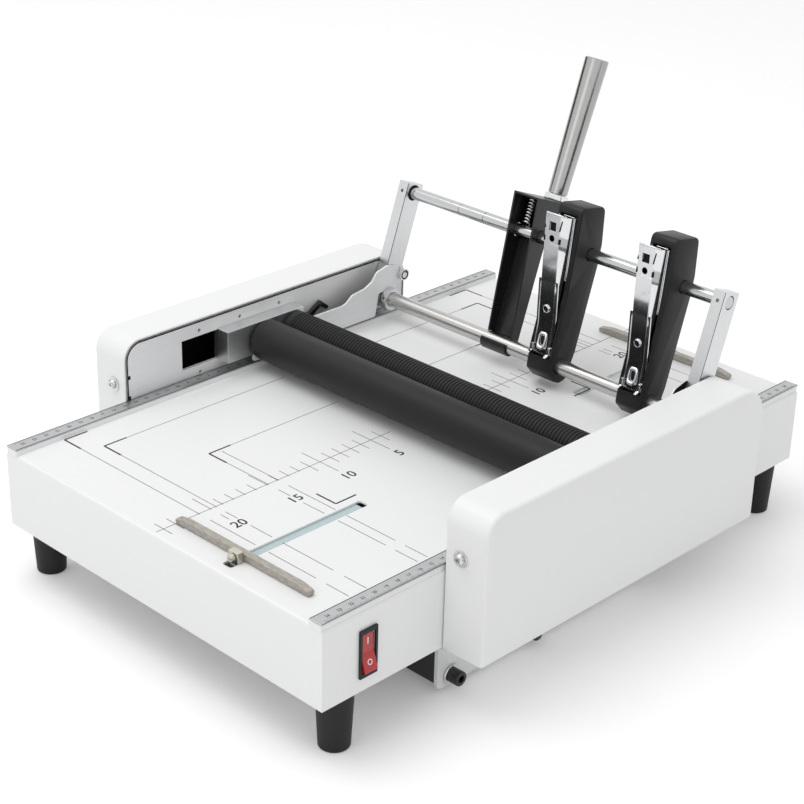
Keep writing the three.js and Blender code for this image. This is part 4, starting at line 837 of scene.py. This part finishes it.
def between(along, front, back):
    """An outline that follows the front line along the frame and comes back along the back line."""
    return np.column_stack([np.r_[front, back[::-1]], np.r_[along, along[::-1]]])


def magazine_front(along):
    """How far out the magazine's front face lies at a place along the arms."""
    return np.interp(along, [6, 29, 71, 112], [-12.6, -16, -30, -43])


def magazine_out(along):
    """The outward normal of the magazine's front face, from its slope."""
    slope = magazine_front(along + 0.5) - magazine_front(along - 0.5)
    return unit(np.cross(x_axis, across * slope + up_arm))


# Slots, notches and the gaps at the head are thin near-black slabs that paint their shade; nothing is cut
painted_shade_mark = {"soft": 0.02, "material": painted_shade, "slot": None}
magazines = [(hand, f"{hand}_magazine", middle_of(f"stapler_magazine_{hand}")[0]) for hand, _ in HANDS]
print("the magazine's foot faces", np.round(magazine_out(16.5), 2).tolist())

# %% Face plates, eyelets and loops
# Half widths across the machine: face plate and sides of the magazine, and the tabs at its top
face_half, side_half, tab_half = 6.7, 6.9, 7.0
along = np.array([90.5, 71, 60, 45, 29, 18, 6.6])
front = magazine_front(along)
face_outline = between(along, front - np.where(along > 75, 0.12, 0.4), front + 0.1)
eyelet = [(2.0, -0.3), (2.0, 1.3), (2.2, 1.6), (2.7, 1.65), (3.1, 1.3), (3.1, -0.3)]
eye = [(0, 0.5), (1.95, 0.5), (1.95, 1.05), (0, 1.05)]
eyelet_along, loop_along, loop_in = 41.5, 16.5, 1.2
loop_half_width, loop_half_length, wire, spread = 3.1, 5.4, 0.8, 0.26
# Point (i, j) of the loop = middle + spoke_i * (1 + spread * cos_j) + wire * sin_j * out, where the
# spokes end on a rounded rectangle, whose radius at an angle is (|cos|^4 + |sin|^4)^(-1/4)
angle = np.linspace(0, 2 * np.pi, 64, endpoint=False)
section = np.linspace(0, 2 * np.pi, 10, endpoint=False)
squareness = (np.abs(np.cos(angle)) ** 4 + np.abs(np.sin(angle)) ** 4) ** -0.25
spokes = squareness[:, None] * (np.cos(angle)[:, None] * x_axis * loop_half_width
                                + np.sin(angle)[:, None] * up_arm * loop_half_length)
loop = (spokes[:, None, :] * (1 + spread * np.cos(section))[None, :, None]
        + wire * np.sin(section)[None, :, None] * magazine_out(loop_along))
for hand, body, x in magazines:
    prism(f"magazine_face_{hand}", face_outline, (x - face_half, x + face_half), body, 0.1)
    spot, out = on_frame(x, magazine_front(eyelet_along), eyelet_along), magazine_out(eyelet_along)
    turned(f"magazine_eyelet_{hand}", eyelet, spot, out, chrome, body, ring=True, around=64)
    # The eye is a dark disc of painted shade in the eyelet's hole
    turned(f"magazine_eye_{hand}", eye, spot, out, painted_shade, body, around=48)
    points = on_frame(x, magazine_front(loop_along) - loop_in, loop_along) + loop
    show(f"magazine_loop_{hand}", points * MM, skin_of(points, wrap_rows=True), chrome, body)
print("loops", round(2 * loop_half_length * (1 + spread), 1), "mm long")

# %% Wings, lips and painted shade in the slots on both sides of each magazine
wing_half, lip_half, shade_proud, rail_gap, rail_thick = 6.6, 9.1, 0.14, 0.25, 0.7
wing_along, wing_reach = np.array([(62, 0.3), (56, 2.3), (45, 2.4), (29, 2.4), (18, 2.4), (9, 2.4)]).T
wing_front = magazine_front(wing_along)
edge_share, edge_lift = np.array([(0.0, -0.35), (1.1, 0.35), (1.15, 0.6), (0.0, -0.05)]).T[..., None]
lip = [(-15.4, 12.5), (-14.3, 12.5), (-13.9, 6.4), (-17.6, 4.6), (-17.6, 5.6), (-15.0, 7.2)]
slot_shade = [(-40.6, 101.0), (-38.9, 101.0), (-38.9, 109.0), (-40.6, 109.0)]
notch_shade = [(-37.6, 91.5), (-34.4, 91.5), (-35.4, 95.5), (-38.6, 95.5)]
rail_along = np.array([112.5, 92, 71, 65])
lever_front = np.interp(rail_along, [60, 71, 113], [-13.9, -15.6, -24.2])
rail = between(rail_along, lever_front - 2.3, lever_front + 1.0)
for hand, body, x in magazines:
    for side, s in HANDS:
        # Point (i, j) of a wing lies beside the face plate by share_i of its reach at place j
        points = on_frame(x + s * (wing_half + edge_share * wing_reach), wing_front + edge_lift, wing_along)
        faces = skin_of(points, wrap_rows=True, wrap_columns=False)
        faces += np.arange(points.size // 3).reshape(points.shape[:2])[:, [0, -1]].T.tolist()
        show(f"magazine_wing_{side}_{hand}", points * MM, faces, chrome, body)
        wall = x + s * side_half
        prism(f"magazine_lip_{side}_{hand}", lip, (wall, x + s * lip_half), body, 0.2)
        ends = wall, wall + s * shade_proud
        # The slot and the notch in each side are painted shade
        prism(f"magazine_slot_{side}_{hand}", slot_shade, ends, body, **painted_shade_mark)
        prism(f"magazine_notch_{side}_{hand}", notch_shade, ends, body, **painted_shade_mark)
        ends = wall + s * rail_gap, wall + s * (rail_gap + rail_thick)
        prism(f"head_rail_{side}_{hand}", rail, ends, f"{hand}_stapler", 0.25)
print("wings reach out", wing_reach.max(), "mm")

# %% Tabs at the top of each magazine
backing_half, gap_half, rear_tab_left = 3.1, 6.8, 1.5
along = np.array([100.4, 106.6])
backing = between(along, magazine_front(along) + 1.3, magazine_front(along) + 1.6)
front_tab = [(-43.1, 112.0), (-38.2, 112.0), (-38.2, 112.9), (-43.1, 113.3)]
rear_tab = [(-37.0, 111.6), (-33.6, 111.3), (-33.6, 112.4), (-37.0, 112.8)]
gap = [(-38.2, 111.9), (-37.0, 111.9), (-37.0, 112.15), (-38.2, 112.15)]
for hand, body, x in magazines:
    # The backing behind the tabs and the gap between them are painted shade
    prism(f"magazine_backing_{hand}", backing, (x - backing_half, x + backing_half), body, **painted_shade_mark)
    prism(f"magazine_tab_front_{hand}", front_tab, (x - tab_half, x + tab_half), body, 0.3)
    prism(f"magazine_tab_rear_{hand}", rear_tab, (x - rear_tab_left, x + tab_half), body, 0.3)
    prism(f"magazine_gap_{hand}", gap, (x - gap_half, x + gap_half), body, **painted_shade_mark)
print("tabs at the top of both magazines")

# %% Shadow rings round the upper shaft and the crank bolts
shaft_along = float((middle_of("upper_shaft") - pivot).dot(up_arm))
for hand, s in HANDS:
    arm_face, bolt_face = (span_of(f"{name}_{hand}", 0)[int(s < 0)] for name in ("frame_arm", "crank_bolt"))
    _, y, z = middle_of(f"crank_bolt_{hand}")
    for name, spot, inner, outer, height in (
        ("shaft_shadow", on_frame(arm_face, 0, shaft_along), 5.05, 6.5, 0.12),
        ("crank_ring", (bolt_face, y, z), 2.7, 3.9, 0.1),
    ):
        ring = [(inner, 0.02), (outer, 0.02), (outer, height), (inner, height)]
        turned(f"{name}_{hand}", ring, spot, (-s, 0, 0), painted_shade, "stapling_frame", ring=True, around=64)
print("upper shaft", round(shaft_along, 1), "mm up the arms")

# %% [markdown]
# ## Painted shade in the seams
# Dark bands paint the shade in the joints between sheets: along the cover's rim on each side plate,
# and down each arm where its front meets its side. Each is a flat band that follows a path.

# %% Painted shade bands in the seams and in the rim notches
seam_height, seam_gap = 0.06, 0.25


def band(name, path, width, out, body):
    """A flat band of painted shade under a path: four points at each place, two on the path and two a
    width away towards the inside of the bend, the outer pair lifted by the seam's height."""
    path, out = np.asarray(path, float), unit(out)
    inwards = np.cross(np.gradient(path, axis=0), out)
    inwards *= width / np.linalg.norm(inwards, axis=1)[:, None]
    lift, count = out * seam_height, len(path)
    rows = np.stack([path, path + inwards, path + inwards + lift, path + lift])
    faces = skin_of(rows, wrap_rows=True, wrap_columns=False)
    faces += [[0, count, 2 * count, 3 * count], [count - 1, 2 * count - 1, 3 * count - 1, 4 * count - 1]]
    show(name, rows * MM, faces, painted_shade, body)


# The rim runs a hair outside the side plate, whose corners are 13 mm round in front and 21 mm behind
front_y, rear_y = np.add(span_of("side_plate_left", 1), (-seam_gap, seam_gap))
crown = span_of("side_plate_left", 2)[1] + seam_gap
front_round, rear_round = 13 + seam_gap, 21 + seam_gap
rim = [(front_y, z) for z in np.linspace(TABLE + 2, crown - front_round, 6)[:-1]]
rim += arc((front_y + front_round, crown - front_round), front_round, 180, 90, 16)
rim += arc((rear_y - rear_round, crown - rear_round), rear_round, 90, 0, 20)
rim += [(rear_y, z) for z in np.linspace(crown - rear_round, TABLE + 2, 6)[1:]]
plate_x, rim_width, arm_width, arm_front = 162.3, 1.15, 0.7, -8.6
# Two notches in each plate's front edge, drawn as thin dark slabs of painted shade
notches = (("high", -140.6, 21.8), ("low", -140.9, 5.5))
for hand, s in HANDS:
    band(f"rim_gap_shade_{hand}", [(s * plate_x, y, z) for y, z in rim][::-s], rim_width, (-s, 0, 0), "base")
    near, far = sorted((s * plate_x, s * (plate_x - 0.1)))
    for level, y, z in notches:
        points, faces = slabs([(near, y - 1.2, TABLE + z - 1.5)], [(far, y + 1.6, TABLE + z + 1.5)])
        show(f"rim_notch_{level}_{hand}", points * MM, faces, painted_shade, "base")
    # A painted shadow line down each arm's side, where its front face meets it
    arm_path = on_frame(span_of(f"frame_arm_{hand}", 0)[1], arm_front, np.linspace(95.2, 2.0, 12))
    band(f"arm_edge_shade_{hand}", arm_path, arm_width, (1, 0, 0), "stapling_frame")
print("rim seams", len(rim), "places long")

# %% [markdown]
# ## The studio
# A pale floor, a white world and two large soft lamps: the machine was photographed on white. What
# the camera and the mirrors see of the world is pure white, and what lights the machine is a little
# less, so that white paint keeps its shape. Dark cards outside the view are seen only in chrome and
# give it its contrast.

# %% Floor and world
def sheet_piece(name, corners, material):
    """One flat four-cornered stage sheet from its corners in metres."""
    mesh = bpy.data.meshes.new(name)
    mesh.from_pydata(corners, [], [(0, 1, 2, 3)])
    mesh.materials.append(material)
    obj = in_scene(name, mesh)
    return obj


def stage_paint(name, scale, detail, first, second):
    """A matt paint for the stage, clouded between two tones."""
    paint, tree, shader = blank(name)
    clouds = place(tree, "ShaderNodeTexNoise", {"Scale": scale, "Detail": detail})
    tree.links.new(mixed(tree, clouds.outputs["Fac"], first, second), shader.inputs["Base Color"])
    shader.inputs["Roughness"].default_value = 0.9
    return paint, tree, shader


def seen_directly(tree):
    """1 for rays from the camera, a mirror or glass, and 0 for the rays that light the machine."""
    rays = place(tree, "ShaderNodeLightPath").outputs
    direct = calculated(tree, "MAXIMUM", rays["Is Camera Ray"], rays["Is Glossy Ray"])
    return calculated(tree, "MAXIMUM", direct, rays["Is Transmission Ray"])


floor_glow, room_light, floor_half = 0.16, 0.72, 8
floor_paint, tree, matt = stage_paint("pale_floor", 40.0, 3.0, (0.93, 0.93, 0.93), (0.95, 0.95, 0.95))
matt.inputs["Specular IOR Level"].default_value = 0.1
matt.inputs["Emission Color"].default_value = (1, 1, 1, 1)
glow = calculated(tree, "MULTIPLY", seen_directly(tree), floor_glow)
tree.links.new(glow, matt.inputs["Emission Strength"])
sheet_piece("floor", [(x * floor_half, y * floor_half, 0) for x, y in ((-1, -1), (1, -1), (1, 1), (-1, 1))],
            floor_paint)

world = bpy.data.worlds.new("white_room")
bpy.context.scene.world = world
world.use_nodes = True
tree = world.node_tree
level = place(tree, "ShaderNodeMapRange", {0: seen_directly(tree), 3: room_light, 4: 1.0})
tree.links.new(level.outputs[0], tree.nodes["Background"].inputs["Strength"])
tree.nodes["Background"].inputs["Color"].default_value = (1.0, 1.0, 1.0, 1.0)
print("floor", 2 * floor_half, "m wide")

# %% Lamps
def lamp(name, spot, size, power, target=(0, 0, 0.1)):
    """A square area lamp that looks from its spot towards the target."""
    light = bpy.data.lights.new(name, "AREA")
    light.size, light.energy = size, power
    back = unit(np.subtract(spot, target))
    right = unit(np.cross((0, 0, 1), back))
    in_scene(name, light).matrix_world = stance(right, np.cross(back, right), back, spot)
    print(name, power, "W")


lamp("sky_lamp", (-0.6, -0.5, 2.2), 1.6, 18.0)
lamp("front_lamp", (0.2, -2.2, 1.2), 1.2, 2.5)

# %% Dark cards for the chrome
card_paint = stage_paint("dark_card", 2.0, 2.0, (0.015, 0.015, 0.017), (0.03, 0.03, 0.033))[0]
for name, corners in {
    "card_front": [(-0.9, -2.6, 0.0), (0.5, -2.6, 0.0), (0.5, -2.6, 0.75), (-0.9, -2.6, 0.75)],
    "card_right": [(2.4, -0.6, 0.0), (2.4, 0.5, 0.0), (2.4, 0.5, 0.7), (2.4, -0.6, 0.7)],
    "card_left": [(-2.2, -1.2, 0.3), (-2.2, 0.6, 0.3), (-2.2, 0.6, 0.9), (-2.2, -1.2, 0.9)],
}.items():
    card = sheet_piece(name, corners, card_paint)
    card.visible_camera = card.visible_diffuse = card.visible_shadow = False
    print(name, "stands", corners[2][2], "m high")
